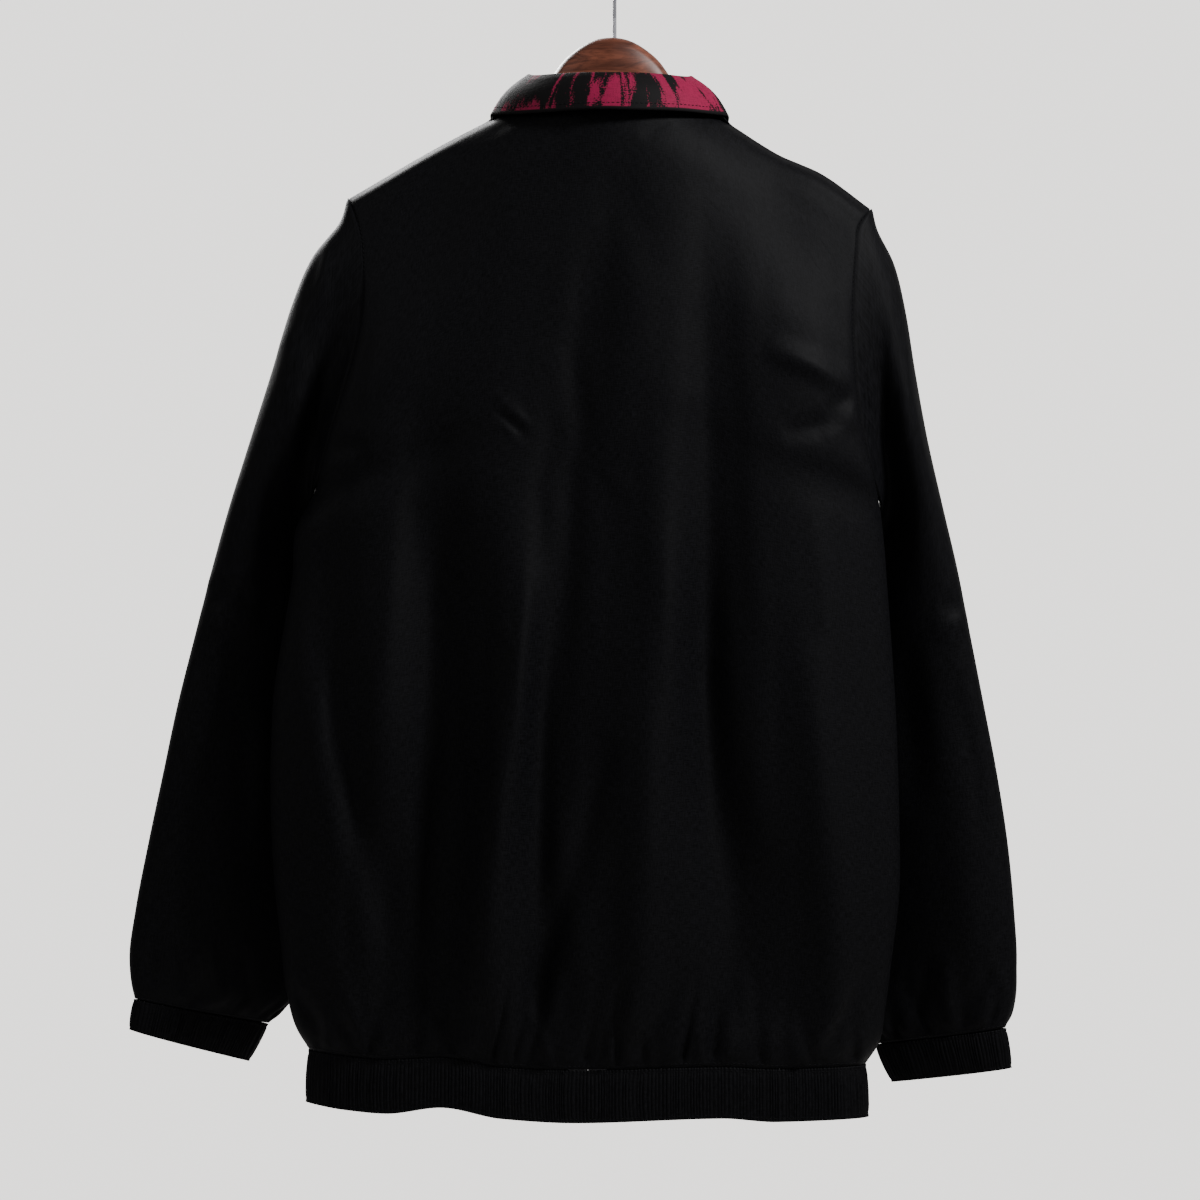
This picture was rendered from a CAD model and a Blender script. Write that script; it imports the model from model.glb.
"""Windbreaker on a wooden hanger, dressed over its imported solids.

Cloth pieces are lofted through the same rows as their solids, made finer, creased by hand
and given their wall by Solidify. Sizes are in metres, with the hook's rest at the origin.
"""

import math
from bisect import bisect_right
from collections import namedtuple

import bmesh
import bpy
import numpy as np
from bpy.props import FloatProperty, FloatVectorProperty, PointerProperty
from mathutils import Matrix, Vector
from mathutils.bvhtree import BVHTree


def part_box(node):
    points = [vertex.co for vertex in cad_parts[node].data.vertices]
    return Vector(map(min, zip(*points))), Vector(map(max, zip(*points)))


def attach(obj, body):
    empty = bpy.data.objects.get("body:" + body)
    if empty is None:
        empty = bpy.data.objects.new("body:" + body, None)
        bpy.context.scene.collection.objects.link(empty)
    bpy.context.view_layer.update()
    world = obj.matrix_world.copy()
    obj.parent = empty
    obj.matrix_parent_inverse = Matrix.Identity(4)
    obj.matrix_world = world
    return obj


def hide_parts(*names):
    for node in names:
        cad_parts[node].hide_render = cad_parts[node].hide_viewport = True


bl_info = {
    "name": "Windbreaker on a hanger",
    "version": (1, 0, 0),
    "blender": (4, 5, 0),
    "location": "3D View > Sidebar > Windbreaker",
    "description": "Cloth, zip and hanger of a windbreaker, over its packed solids",
    "category": "Object",
}

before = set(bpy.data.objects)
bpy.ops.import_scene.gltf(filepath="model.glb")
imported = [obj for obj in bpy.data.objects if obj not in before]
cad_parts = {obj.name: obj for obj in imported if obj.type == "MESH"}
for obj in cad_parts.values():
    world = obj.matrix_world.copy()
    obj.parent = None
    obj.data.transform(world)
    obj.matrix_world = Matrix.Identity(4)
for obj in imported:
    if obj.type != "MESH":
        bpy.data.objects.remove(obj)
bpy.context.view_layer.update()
JACKET = "jacket"

# ---- walls and seams ----
CLOTH = 0.0012                       # wall of the shell fabric
COLLAR_WALL = 0.0016                 # two layers with a stiffener
SEAM_GAP = 0.0003                    # between neighbouring pieces
SEAM_HALF = SEAM_GAP / 2 + CLOTH / 3  # each panel's share of a seam, at mid-wall
EDGE_GAP = SEAM_GAP + CLOTH / 2 + 0.0002  # where a piece's edge meets the face of another
MIDDLE = 1e-9                        # share of the half width that still belongs to one front

# ---- body ----
BODY_DROP = 0.640                    # shoulder point to hem seam, along the side
ARMHOLE_DROP = 0.220                 # shoulder point to underarm
ARMHOLE_HALF = 0.030                 # half the armhole's width, front to back
ARMHOLE_Y = -0.014
ARMHOLE_GAP = 0.0015                 # at mid-wall: the two walls meet at a right angle there
UNDERARM_GAP = 0.0029                # where the side flares out below the seam
SIDE_SEAM_Y = -0.010
HEM_Y = -0.004
PANEL_FLATNESS = 0.70                # under 1 flattens a panel between its rolled sides
ARM_ROLL = 0.014                     # drop over which the cloth rounds the hanger's arm
ARM_HALF = 0.020                     # half the cloth's width there, front to back
SHOULDER_SLOPE = 0.53
ARM_BLEND = 0.45                     # share of the half width from the neck out to the arm's end
FALL_OUT = 0.150                     # drop over which a panel reaches its full depth
FOLD_START = 0.030                   # drop over which the folds come in
SIDE_FADE = 1.25                     # how soon they fade towards the side seams
HEM_FADE = 0.050                     # drop over which they fade into the hem seam
SLEEVE_CLEAR = 0.0040                # sleeve's middle in front of the body's
SLEEVE_ASIDE = 0.005                 # how far beside the body's edge that holds
SLEEVE_STEEP = 3.0                   # how steeply the limit falls back from there
DROPS = (0.0, 0.005, 0.014, 0.030, 0.055, 0.085, 0.115, 0.145, 0.175, 0.205, ARMHOLE_DROP,
         0.250, 0.285, 0.325, 0.370, 0.415, 0.465, 0.515, 0.560, 0.600, 0.625, BODY_DROP)
UNDERARM_ROW = DROPS.index(ARMHOLE_DROP)

# ---- neck ----
NECK_ANGLE = math.radians(67.5)      # round the body, from the side to the neck point
NECK_XI = math.cos(NECK_ANGLE)       # neck point, as a share of the body's half width
NECK_Y = -0.010
NECK_BACK_Z = -0.128
NECK_ROUND = 0.7                     # 0.5 would make the neck an ellipse seen from above
FRONT_TOP_Y = -0.034                 # front's depth at the neck points' height, if it went up
NECK_FRONT_DROP = 0.060
SHOULDER_COLUMNS = 11
NECK_COLUMNS = 8

# ---- zip ----
ZIP_HALF_OPENING = 0.0055            # zip's middle to each front's edge
CHAIN_WALL = 0.0015

# ---- bands ----
HEM_SEAM = 0.0010                    # hem seam's opening at mid-wall, under the gathers
CUFF_SEAM = 0.0011

# ---- hanger ----
WOOD_CLEAR = 0.0026
HUMP_X = 0.0025
HUMP_Y = -0.004
HUMP_EDGE = 0.076
WOOD_END = 0.187

BodyLevel = namedtuple("BodyLevel", "drop left right back front")
BODY = [
    BodyLevel(0.000, 0.199, -0.192, 0.036, -0.052),
    BodyLevel(0.015, 0.193, -0.182, 0.038, -0.052),
    BodyLevel(0.045, 0.187, -0.179, 0.041, -0.051),
    BodyLevel(0.075, 0.187, -0.177, 0.044, -0.051),
    BodyLevel(0.105, 0.191, -0.178, 0.047, -0.051),
    BodyLevel(0.135, 0.199, -0.180, 0.049, -0.051),
    BodyLevel(0.165, 0.208, -0.184, 0.051, -0.052),
    BodyLevel(0.195, 0.217, -0.191, 0.052, -0.052),
    BodyLevel(0.220, 0.224, -0.198, 0.053, -0.052),
    BodyLevel(0.250, 0.239, -0.202, 0.054, -0.052),
    BodyLevel(0.290, 0.242, -0.205, 0.055, -0.053),
    BodyLevel(0.330, 0.249, -0.208, 0.056, -0.053),
    BodyLevel(0.380, 0.256, -0.211, 0.057, -0.053),
    BodyLevel(0.440, 0.258, -0.213, 0.058, -0.053),
    BodyLevel(0.500, 0.256, -0.214, 0.057, -0.052),
    BodyLevel(0.550, 0.251, -0.209, 0.055, -0.050),
    BodyLevel(0.590, 0.247, -0.204, 0.051, -0.047),
    BodyLevel(0.625, 0.238, -0.198, 0.045, -0.043),
    BodyLevel(0.640, 0.229, -0.188, 0.041, -0.041),
]

ZipPoint = namedtuple("ZipPoint", "drop x")
ZIP_LINE = [ZipPoint(0.000, 0.0035), ZipPoint(0.120, 0.0060), ZipPoint(0.300, 0.0190),
            ZipPoint(0.450, 0.0225), ZipPoint(0.640, 0.0205)]

ShoulderPoint = namedtuple("ShoulderPoint", "x z")
SHOULDER = [
    ShoulderPoint(-0.192, -0.203), ShoulderPoint(-0.154, -0.176),
    ShoulderPoint(-0.124, -0.163), ShoulderPoint(-0.087, -0.140),
    ShoulderPoint(-0.070, -0.130), ShoulderPoint(0.000, -0.118),
    ShoulderPoint(0.078, -0.129), ShoulderPoint(0.092, -0.136),
    ShoulderPoint(0.131, -0.156), ShoulderPoint(0.199, -0.195),
]

HemPoint = namedtuple("HemPoint", "x seam_z edge_z")
HEM_BACK = [
    HemPoint(-0.190, -0.844, -0.884), HemPoint(-0.120, -0.845, -0.885),
    HemPoint(-0.080, -0.843, -0.882), HemPoint(0.030, -0.845, -0.885),
    HemPoint(0.084, -0.843, -0.882), HemPoint(0.129, -0.836, -0.874),
    HemPoint(0.170, -0.838, -0.879), HemPoint(0.200, -0.836, -0.877),
    HemPoint(0.229, -0.833, -0.873),
]
HEM_FRONT = [
    HemPoint(-0.190, -0.844, -0.884), HemPoint(-0.060, -0.838, -0.879),
    HemPoint(0.100, -0.837, -0.877), HemPoint(0.229, -0.833, -0.873),
]

# A fold runs down its rows: where it is, how far it stands out (or in), and how wide.
Fold = namedtuple("Fold", "z x height half_width")
FOLDS_BACK = {
    "left side trough": [
        Fold(-0.400, 0.216, 0.000, 0.013), Fold(-0.467, 0.212, -0.006, 0.013),
        Fold(-0.572, 0.208, -0.009, 0.014), Fold(-0.670, 0.191, -0.011, 0.016),
        Fold(-0.722, 0.180, -0.011, 0.018), Fold(-0.797, 0.168, -0.008, 0.018)],
    "left blade ridge": [
        Fold(-0.220, 0.180, 0.002, 0.030), Fold(-0.460, 0.180, 0.006, 0.026),
        Fold(-0.572, 0.175, 0.007, 0.022), Fold(-0.655, 0.170, 0.003, 0.014),
        Fold(-0.700, 0.168, 0.000, 0.012)],
    "left inner trough": [
        Fold(-0.330, 0.150, 0.000, 0.020), Fold(-0.407, 0.138, -0.006, 0.020),
        Fold(-0.527, 0.127, -0.011, 0.021), Fold(-0.617, 0.124, -0.014, 0.026),
        Fold(-0.692, 0.140, -0.013, 0.030), Fold(-0.797, 0.140, -0.008, 0.026)],
    "left centre ridge": [
        Fold(-0.300, 0.090, 0.001, 0.030), Fold(-0.400, 0.086, 0.005, 0.030),
        Fold(-0.508, 0.074, 0.010, 0.018), Fold(-0.587, 0.080, 0.011, 0.016),
        Fold(-0.733, 0.090, 0.011, 0.019), Fold(-0.797, 0.090, 0.009, 0.020)],
    "spine trough": [
        Fold(-0.156, -0.006, 0.000, 0.013), Fold(-0.248, 0.012, -0.003, 0.014),
        Fold(-0.347, 0.028, -0.006, 0.014), Fold(-0.400, 0.038, -0.009, 0.014),
        Fold(-0.500, 0.048, -0.011, 0.015), Fold(-0.572, 0.052, -0.011, 0.015),
        Fold(-0.720, 0.054, -0.009, 0.015), Fold(-0.797, 0.054, -0.006, 0.015)],
    "right centre ridge": [
        Fold(-0.200, -0.040, 0.001, 0.030), Fold(-0.347, -0.037, 0.005, 0.028),
        Fold(-0.492, -0.037, 0.009, 0.026), Fold(-0.560, -0.026, 0.010, 0.026),
        Fold(-0.700, -0.021, 0.010, 0.028), Fold(-0.797, -0.012, 0.006, 0.020)],
    "right blade trough": [
        Fold(-0.151, -0.075, 0.000, 0.015), Fold(-0.280, -0.071, -0.005, 0.016),
        Fold(-0.420, -0.076, -0.009, 0.018), Fold(-0.550, -0.069, -0.012, 0.020),
        Fold(-0.637, -0.074, -0.013, 0.025), Fold(-0.720, -0.098, -0.014, 0.038),
        Fold(-0.797, -0.103, -0.010, 0.038)],
    "right side ridge": [
        Fold(-0.300, -0.140, 0.003, 0.045), Fold(-0.450, -0.144, 0.007, 0.042),
        Fold(-0.570, -0.150, 0.008, 0.034), Fold(-0.700, -0.170, 0.008, 0.024),
        Fold(-0.797, -0.170, 0.006, 0.022)],
}
FOLDS_FRONT = {
    "left chest trough": [
        Fold(-0.260, 0.120, 0.000, 0.022), Fold(-0.420, 0.118, -0.006, 0.022),
        Fold(-0.600, 0.126, -0.009, 0.024), Fold(-0.797, 0.140, -0.006, 0.026)],
    "left front ridge": [
        Fold(-0.280, 0.072, 0.000, 0.020), Fold(-0.450, 0.074, 0.005, 0.020),
        Fold(-0.640, 0.082, 0.008, 0.022), Fold(-0.797, 0.088, 0.006, 0.022)],
    "right front ridge": [
        Fold(-0.280, -0.062, 0.000, 0.020), Fold(-0.480, -0.050, 0.005, 0.020),
        Fold(-0.660, -0.046, 0.008, 0.022), Fold(-0.797, -0.044, 0.006, 0.020)],
    "right chest trough": [
        Fold(-0.250, -0.112, 0.000, 0.022), Fold(-0.440, -0.104, -0.007, 0.022),
        Fold(-0.620, -0.100, -0.009, 0.024), Fold(-0.797, -0.104, -0.006, 0.024)],
}

# A sleeve's rings, from the shoulder to the cuff: its outer and inner edges seen from
# behind, how far forward each lies, and half its thickness.
Ring = namedtuple("Ring", "outer_x outer_z inner_x inner_z outer_y inner_y half_depth")
RINGS_LEFT = [
    Ring(0.2070, -0.2140, 0.2275, -0.4215, -0.014, -0.016, 0.0300),
    Ring(0.2270, -0.2390, 0.2275, -0.4300, -0.016, -0.026, 0.0345),
    Ring(0.2430, -0.2760, 0.2230, -0.4420, -0.019, -0.042, 0.040),
    Ring(0.2570, -0.3220, 0.2160, -0.4560, -0.022, -0.056, 0.041),
    Ring(0.2730, -0.3720, 0.2060, -0.4740, -0.025, -0.067, 0.041),
    Ring(0.2895, -0.4240, 0.1940, -0.5000, -0.028, -0.073, 0.040),
    Ring(0.3030, -0.4700, 0.1850, -0.5280, -0.030, -0.076, 0.037),
    Ring(0.3185, -0.5250, 0.1800, -0.5680, -0.032, -0.078, 0.034),
    Ring(0.3300, -0.5750, 0.1820, -0.6120, -0.033, -0.078, 0.031),
    Ring(0.3410, -0.6280, 0.1890, -0.6620, -0.034, -0.077, 0.029),
    Ring(0.3520, -0.6800, 0.2000, -0.7100, -0.034, -0.075, 0.027),
    Ring(0.3620, -0.7320, 0.2150, -0.7580, -0.034, -0.071, 0.025),
    Ring(0.3665, -0.7660, 0.2320, -0.7860, -0.034, -0.067, 0.022),
    Ring(0.3650, -0.7870, 0.2480, -0.8060, -0.034, -0.064, 0.018),
    Ring(0.3625, -0.7980, 0.2640, -0.8190, -0.034, -0.062, 0.0145),
]
RINGS_RIGHT = [
    Ring(-0.1980, -0.2200, -0.2005, -0.4285, -0.014, -0.016, 0.0300),
    Ring(-0.2100, -0.2440, -0.1995, -0.4370, -0.016, -0.026, 0.0345),
    Ring(-0.2190, -0.2800, -0.1940, -0.4490, -0.019, -0.042, 0.040),
    Ring(-0.2260, -0.3230, -0.1865, -0.4630, -0.022, -0.056, 0.041),
    Ring(-0.2350, -0.3720, -0.1760, -0.4810, -0.025, -0.067, 0.041),
    Ring(-0.2470, -0.4240, -0.1630, -0.5050, -0.028, -0.073, 0.040),
    Ring(-0.2580, -0.4700, -0.1530, -0.5300, -0.030, -0.076, 0.037),
    Ring(-0.2690, -0.5250, -0.1460, -0.5640, -0.032, -0.078, 0.034),
    Ring(-0.2790, -0.5750, -0.1440, -0.6080, -0.033, -0.078, 0.031),
    Ring(-0.2890, -0.6280, -0.1460, -0.6570, -0.034, -0.077, 0.029),
    Ring(-0.2970, -0.6800, -0.1520, -0.7060, -0.034, -0.075, 0.027),
    Ring(-0.3020, -0.7320, -0.1600, -0.7580, -0.034, -0.071, 0.025),
    Ring(-0.3040, -0.7700, -0.1720, -0.7930, -0.034, -0.067, 0.022),
    Ring(-0.3010, -0.8050, -0.1880, -0.8240, -0.034, -0.064, 0.018),
    Ring(-0.2955, -0.8200, -0.1990, -0.8350, -0.034, -0.062, 0.0145),
]
BACK_TAPER = 0.40                    # share of a sleeve's back half left at its inner edge
BEND = 0.85                          # how square a ring turns in under the arm
BEND_RING = 3.5                      # the ring that turns most
BEND_RINGS = 2.6

# Creases of a sleeve: centre and half width by ring and by angle round it (0 outer edge,
# 90 degrees back, 180 inner edge), and height.
Crease = namedtuple("Crease", "ring half_rings angle half_angle height")
CREASES_LEFT = [
    Crease(2.5, 2.5, 100, 26, -0.010), Crease(3.0, 3.0, 48, 20, 0.005),
    Crease(8.0, 0.8, 60, 60, -0.004), Crease(5.0, 2.5, 250, 26, -0.006),
    Crease(12.0, 2.5, 75, 18, 0.004), Crease(12.5, 2.0, 125, 16, -0.003),
]
CREASES_RIGHT = [
    Crease(2.5, 2.5, 105, 26, -0.009), Crease(3.5, 3.0, 55, 22, 0.004),
    Crease(9.0, 0.8, 80, 50, -0.003), Crease(5.5, 2.5, 245, 26, -0.006),
    Crease(12.0, 2.0, 60, 18, 0.004), Crease(13.0, 2.0, 110, 16, -0.003),
]

CUFF_LEFT_TOP = RINGS_LEFT[-1]
CUFF_LEFT_EDGE = Ring(0.3665, -0.8220, 0.2790, -0.8480, -0.035, -0.060, 0.0140)
CUFF_RIGHT_TOP = RINGS_RIGHT[-1]
CUFF_RIGHT_EDGE = Ring(-0.3000, -0.8510, -0.2120, -0.8640, -0.035, -0.060, 0.0140)

# The collar from its middle back to its front end: the stand's top as a share of the neck
# seam's width, its rise above the seam, and how far out and how low its outer edge lies.
CollarStation = namedtuple("CollarStation", "along width rise edge_out edge_z")
COLLAR = [
    CollarStation(0.00, 0.86, 0.021, 0.010, -0.1335),
    CollarStation(0.30, 0.82, 0.022, 0.011, -0.1340),
    CollarStation(0.50, 0.79, 0.025, 0.014, -0.1330),
    CollarStation(0.62, 0.83, 0.026, 0.020, -0.1560),
    CollarStation(0.80, 0.90, 0.018, 0.018, -0.2050),
    CollarStation(1.00, 0.94, 0.012, 0.008, -0.2420),
]
COLLAR_POINT_X = 0.048               # collar point, out from the zip
COLLAR_CLEAR = 0.0034                # the fall's middle above the panels
COLLAR_START = 0.014                 # the fall's edge at the neck point, out from the seam
COLLAR_SWELL = 0.0022                # how far the fall stands out from a straight line
FOLD_RADIUS = 0.0030
FALL_SHARES = (0.2, 0.4, 0.6, 0.8, 1.0)
LAID_DEPTH = 0.170                   # drop down to which the panels carry the collar

WoodStation = namedtuple("WoodStation", "reach top bottom half_depth")
HUMP = [                             # reach is from the middle of the hump
    WoodStation(0.0000, -0.0750, -0.138, 0.0080),
    WoodStation(0.0125, -0.0768, -0.139, 0.0082),
    WoodStation(0.0275, -0.0850, -0.141, 0.0086),
    WoodStation(0.0360, -0.0925, -0.143, 0.0090),
    WoodStation(0.0440, -0.1035, -0.145, 0.0095),
    WoodStation(0.0530, -0.1160, -0.148, 0.0095),
    WoodStation(0.0640, -0.1280, -0.152, 0.0095),
    WoodStation(0.0760, -0.1375, -0.158, 0.0095),
]
ARM_REACHES = (0.095, 0.120, 0.145, 0.165, 0.178, WOOD_END)
ARM_HEIGHT = (0.0240, 0.0150)        # at the hump and at the end
ARM_DEPTH = (0.0095, 0.0105)         # half depths there
ARM_TIP = (0.003, 0.006, 0.004)      # how much lower, less high and thinner the end is

ACROSS = 6                           # steps of a panel's fine grid in one of the tables' steps
DOWN = 7
SLEEVE_ROUND = 5                     # the same for a sleeve
SLEEVE_DOWN = 8
STITCH_LIFT = 0.0001                 # stitches above the cloth's face
STROKE_FADE = 0.022                  # creases fade over this far from a panel's side,
PLEAT_FADE = 0.012                   # pleats over this far,
SEAM_FADE = 0.006                    # and both over these above the hem seam, below the
TOP_FADE = 0.020                     # panel's top and beside the zip
ZIP_FADE = 0.014
BAND_LINES = (0.07, 0.93)            # rows of stitching, down the band
BAND_SHARES = (0.0, 0.035, 0.07, 0.12, 0.22, 0.36, 0.5, 0.64, 0.78, 0.88, 0.93, 0.97, 1.0)
BAND_LINE_ROWS = tuple(BAND_SHARES.index(line) for line in BAND_LINES)
HEM_COLUMNS = 2300
CUFF_COLUMNS = 520
TOOTH_PITCH = 0.0014
RIDGE_REACH = 0.050                  # the hump's facets, out from its middle
RIDGE_HEIGHT = 0.0025
TUCK = 0.010                         # how far a sleeve's edge runs on under the armhole
TUCK_NARROWS = 0.060                 # share by which it draws in there
FLOOR_CORNERS = ((-1.6, -0.9), (1.6, -0.9), (-1.6, 1.9), (1.6, 1.9))
KEY_PLACE = (-1.25, 0.80, 0.80)
FILL_PLACE = (1.5, 0.9, 0.5)
FRONT_PLACE = (0.9, -1.8, 0.7)
LIT_PLACE = (0.0, 0.0, -0.45)        # where the lights point
SENSOR = 36.0                        # camera's sensor, in mm like its lens
VIEW_X = 0.0109                      # the middle of the view, and its width at the cloth
VIEW_Z = -0.497
VIEW_PLANE_Y = 0.000
VIEW_WIDTH = 0.900


# ---- reading the tables ----
def smooth_curve(keys, values):
    """A curve through the values that never swings past them."""
    pairs = sorted(zip(keys, values))
    xs = [pair[0] for pair in pairs]
    ys = [pair[1] for pair in pairs]
    rises = [(ys[i + 1] - ys[i]) / (xs[i + 1] - xs[i]) for i in range(len(xs) - 1)]
    slopes = [rises[0]]
    for before, after in zip(rises, rises[1:]):
        slopes.append(0.0 if before * after <= 0 else 2 * before * after / (before + after))
    slopes.append(rises[-1])

    def value(x):
        x = min(max(x, xs[0]), xs[-1])
        i = min(bisect_right(xs, x) - 1, len(xs) - 2)
        span = xs[i + 1] - xs[i]
        t = (x - xs[i]) / span
        return (ys[i] * (1 + 2 * t) * (1 - t) ** 2 + ys[i + 1] * t * t * (3 - 2 * t)
                + slopes[i] * span * t * (1 - t) ** 2 - slopes[i + 1] * span * t * t * (1 - t))

    return value


def column(table, key, name):
    return smooth_curve([getattr(row, key) for row in table],
                        [getattr(row, name) for row in table])


LEFT = column(BODY, "drop", "left")
RIGHT = column(BODY, "drop", "right")
DEPTH = {1: column(BODY, "drop", "back"), -1: column(BODY, "drop", "front")}
ZIP_X = column(ZIP_LINE, "drop", "x")
SHOULDER_Z = column(SHOULDER, "x", "z")
HEM_SEAM_Z = {1: column(HEM_BACK, "x", "seam_z"), -1: column(HEM_FRONT, "x", "seam_z")}
HEM_EDGE_Z = {1: column(HEM_BACK, "x", "edge_z"), -1: column(HEM_FRONT, "x", "edge_z")}
FOLD_COLUMNS = {
    1: [[column(rows, "z", name) for name in Fold._fields[1:]] for rows in FOLDS_BACK.values()],
    -1: [[column(rows, "z", name) for name in Fold._fields[1:]] for rows in FOLDS_FRONT.values()],
}


def ease(t):
    t = min(max(t, 0.0), 1.0)
    return t * t * (3 - 2 * t)


def quarter(t):
    """Rise of a quarter circle, from 0 to 1."""
    return math.sqrt(1 - (1 - min(max(t, 0.0), 1.0)) ** 2)


def bell(t):
    return math.exp(-t * t)


# ---- the body's middle surface ----
def fold_depth(x, z, side):
    total = 0.0
    for centre, height, half_width in FOLD_COLUMNS[side]:
        total += height(z) * bell((x - centre(z)) / half_width(z))
    return total


def edge_y(drop):
    """Middle and half width of the armhole, or of the side seam below it."""
    if drop >= ARMHOLE_DROP:
        below = (drop - ARMHOLE_DROP) / (BODY_DROP - ARMHOLE_DROP)
        return SIDE_SEAM_Y + (HEM_Y - SIDE_SEAM_Y) * ease(below), 0.0
    share = drop / ARMHOLE_DROP
    middle = ARMHOLE_Y + (SIDE_SEAM_Y - ARMHOLE_Y) * ease(share)
    return middle, ARMHOLE_HALF * math.sqrt(max(0.0, 1 - (2 * share - 1) ** 2))


def middle_x(drop):
    return (LEFT(drop) + RIGHT(drop)) / 2


def body_point(xi, drop, side):
    """A point of the back (side 1) or a front (side -1). xi runs from 1 at the left edge to
    -1 at the right, and drop is how far the row lies below the shoulder point."""
    middle = middle_x(drop)
    half = (LEFT(drop) - RIGHT(drop)) / 2
    hand = 1 if xi >= 0 else -1
    x = middle + half * xi
    aside = abs(xi)
    if side < 0 and aside < NECK_XI:
        opening = ZIP_X(drop) + hand * ZIP_HALF_OPENING
        neck_x = middle + hand * half * NECK_XI
        x = opening + (neck_x - opening) * aside / NECK_XI
    top_middle = middle_x(0.0)
    top_half = (LEFT(0.0) - RIGHT(0.0)) / 2
    ridge_z = SHOULDER_Z(top_middle + top_half * hand * max(aside, NECK_XI))
    along_arm = max(0.0, aside - NECK_XI) / (1 - NECK_XI)
    ridge_y = NECK_Y + (ARMHOLE_Y - NECK_Y) * along_arm
    bow = max(0.0, 1 - (xi / NECK_XI) ** 2) ** NECK_ROUND
    if side > 0:
        top_z = ridge_z + (NECK_BACK_Z - ridge_z) * bow
    else:
        top_z = ridge_z - NECK_FRONT_DROP * bow ** 1.6
    z = top_z + (HEM_SEAM_Z[side](x) - top_z) * drop / BODY_DROP
    hang = max(0.0, ridge_z - z)
    full = DEPTH[side](drop)
    deepest = full
    if side < 0:
        deepest = FRONT_TOP_Y + (full - FRONT_TOP_Y) * ease(hang / NECK_FRONT_DROP)
    share = aside / (max(aside, NECK_XI) + hang / (SHOULDER_SLOPE * top_half))
    at_neck = (deepest - ridge_y) * max(0.0, 1 - share * share) ** NECK_ROUND
    arm = side * ARM_HALF
    at_arm = arm * quarter(hang / ARM_ROLL) + (full - ridge_y - arm) * ease(hang / FALL_OUT)
    y = ridge_y + at_neck + (at_arm - at_neck) * ease((aside - NECK_XI) / ARM_BLEND)
    edge_middle, edge_half = edge_y(drop)
    edge = edge_middle + side * edge_half
    inward = math.sqrt(max(0.0, 1 - xi * xi)) ** PANEL_FLATNESS
    y = edge + (y - edge) * inward
    fade = ease(inward * SIDE_FADE - (SIDE_FADE - 1)) * ease(hang / FOLD_START)
    fade *= ease((BODY_DROP - drop) / HEM_FADE)
    y += side * fold_depth(x, z, side) * fade
    return Vector((x, y + side * SEAM_HALF, z))


def columns_from_side(count_shoulder, count_neck):
    """Shares of the half width from the side edge in to the middle."""
    outer = [math.cos(NECK_ANGLE * i / count_shoulder) for i in range(count_shoulder + 1)]
    inner = [NECK_XI * math.cos(math.pi / 2 * i / count_neck) for i in range(1, count_neck)]
    return outer + inner + [0.0]


COLUMNS = columns_from_side(SHOULDER_COLUMNS, NECK_COLUMNS)


def surface_y(x, z, side):
    """Depth of the back or front at a place seen from behind."""
    drop = BODY_DROP / 2
    for _ in range(12):
        half = (LEFT(drop) - RIGHT(drop)) / 2
        xi = max(-1.0, min(1.0, (x - middle_x(drop)) / half))
        if side < 0 and abs(xi) < NECK_XI:
            hand = 1 if x >= ZIP_X(drop) else -1
            opening = ZIP_X(drop) + hand * ZIP_HALF_OPENING
            neck_x = middle_x(drop) + hand * half * NECK_XI
            xi = hand * max(MIDDLE, NECK_XI * (x - opening) / (neck_x - opening))
        point = body_point(xi, drop, side)
        drop = min(max(drop + (point.z - z) * 0.9, 0.0), BODY_DROP)
    return body_point(xi, drop, side).y


def outward_of(points, closed):
    """Level normals of a ring of points, pointing away from its middle."""
    middle = sum(points, Vector()) / len(points)
    count = len(points)
    result = []
    for i, point in enumerate(points):
        after = points[(i + 1) % count] if closed or i < count - 1 else point
        before = points[i - 1] if closed or i > 0 else point
        along = after - before
        normal = Vector((along.y, -along.x, 0)).normalized()
        away = point - middle
        result.append(normal if normal.dot(Vector((away.x, away.y, 0))) > 0 else -normal)
    return result


def ring_angles():
    """Angles that match the armhole's rows: down the back, then up the front."""
    down = [math.acos(1 - 2 * drop / ARMHOLE_DROP) for drop in DROPS[:UNDERARM_ROW + 1]]
    return down + [2 * math.pi - angle for angle in reversed(down[1:-1])]


def ring_point(ring, angle, swell=0.0, bend=0.0):
    """A point of a ring, moved out from its middle line by swell. The middle line runs from
    the outer edge to the inner one, straight or bent towards the corner below the outer."""
    outer = Vector((ring.outer_x, ring.outer_y, ring.outer_z))
    inner = Vector((ring.inner_x, ring.inner_y, ring.inner_z))
    share = (1 - math.cos(angle)) / 2
    corner = Vector((outer.x, (outer.y + inner.y) / 2, inner.z))
    turn = (corner - (outer + inner) / 2) * bend * 2 * share * (1 - share)
    across = (outer - inner).normalized()
    half = ring.half_depth
    if math.sin(angle) > 0:
        half *= 1 - (1 - BACK_TAPER) * share
    point = outer.lerp(inner, share) + turn
    point += across * swell * math.cos(angle)
    point.y += (half + swell) * math.sin(angle)
    return point


def crease_height(creases, index, angle):
    total = 0.0
    for crease in creases:
        turn = math.degrees(angle) - crease.angle
        turn = (turn + 180) % 360 - 180
        total += (crease.height * bell((index - crease.ring) / crease.half_rings)
                  * bell(turn / crease.half_angle))
    return total


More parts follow.
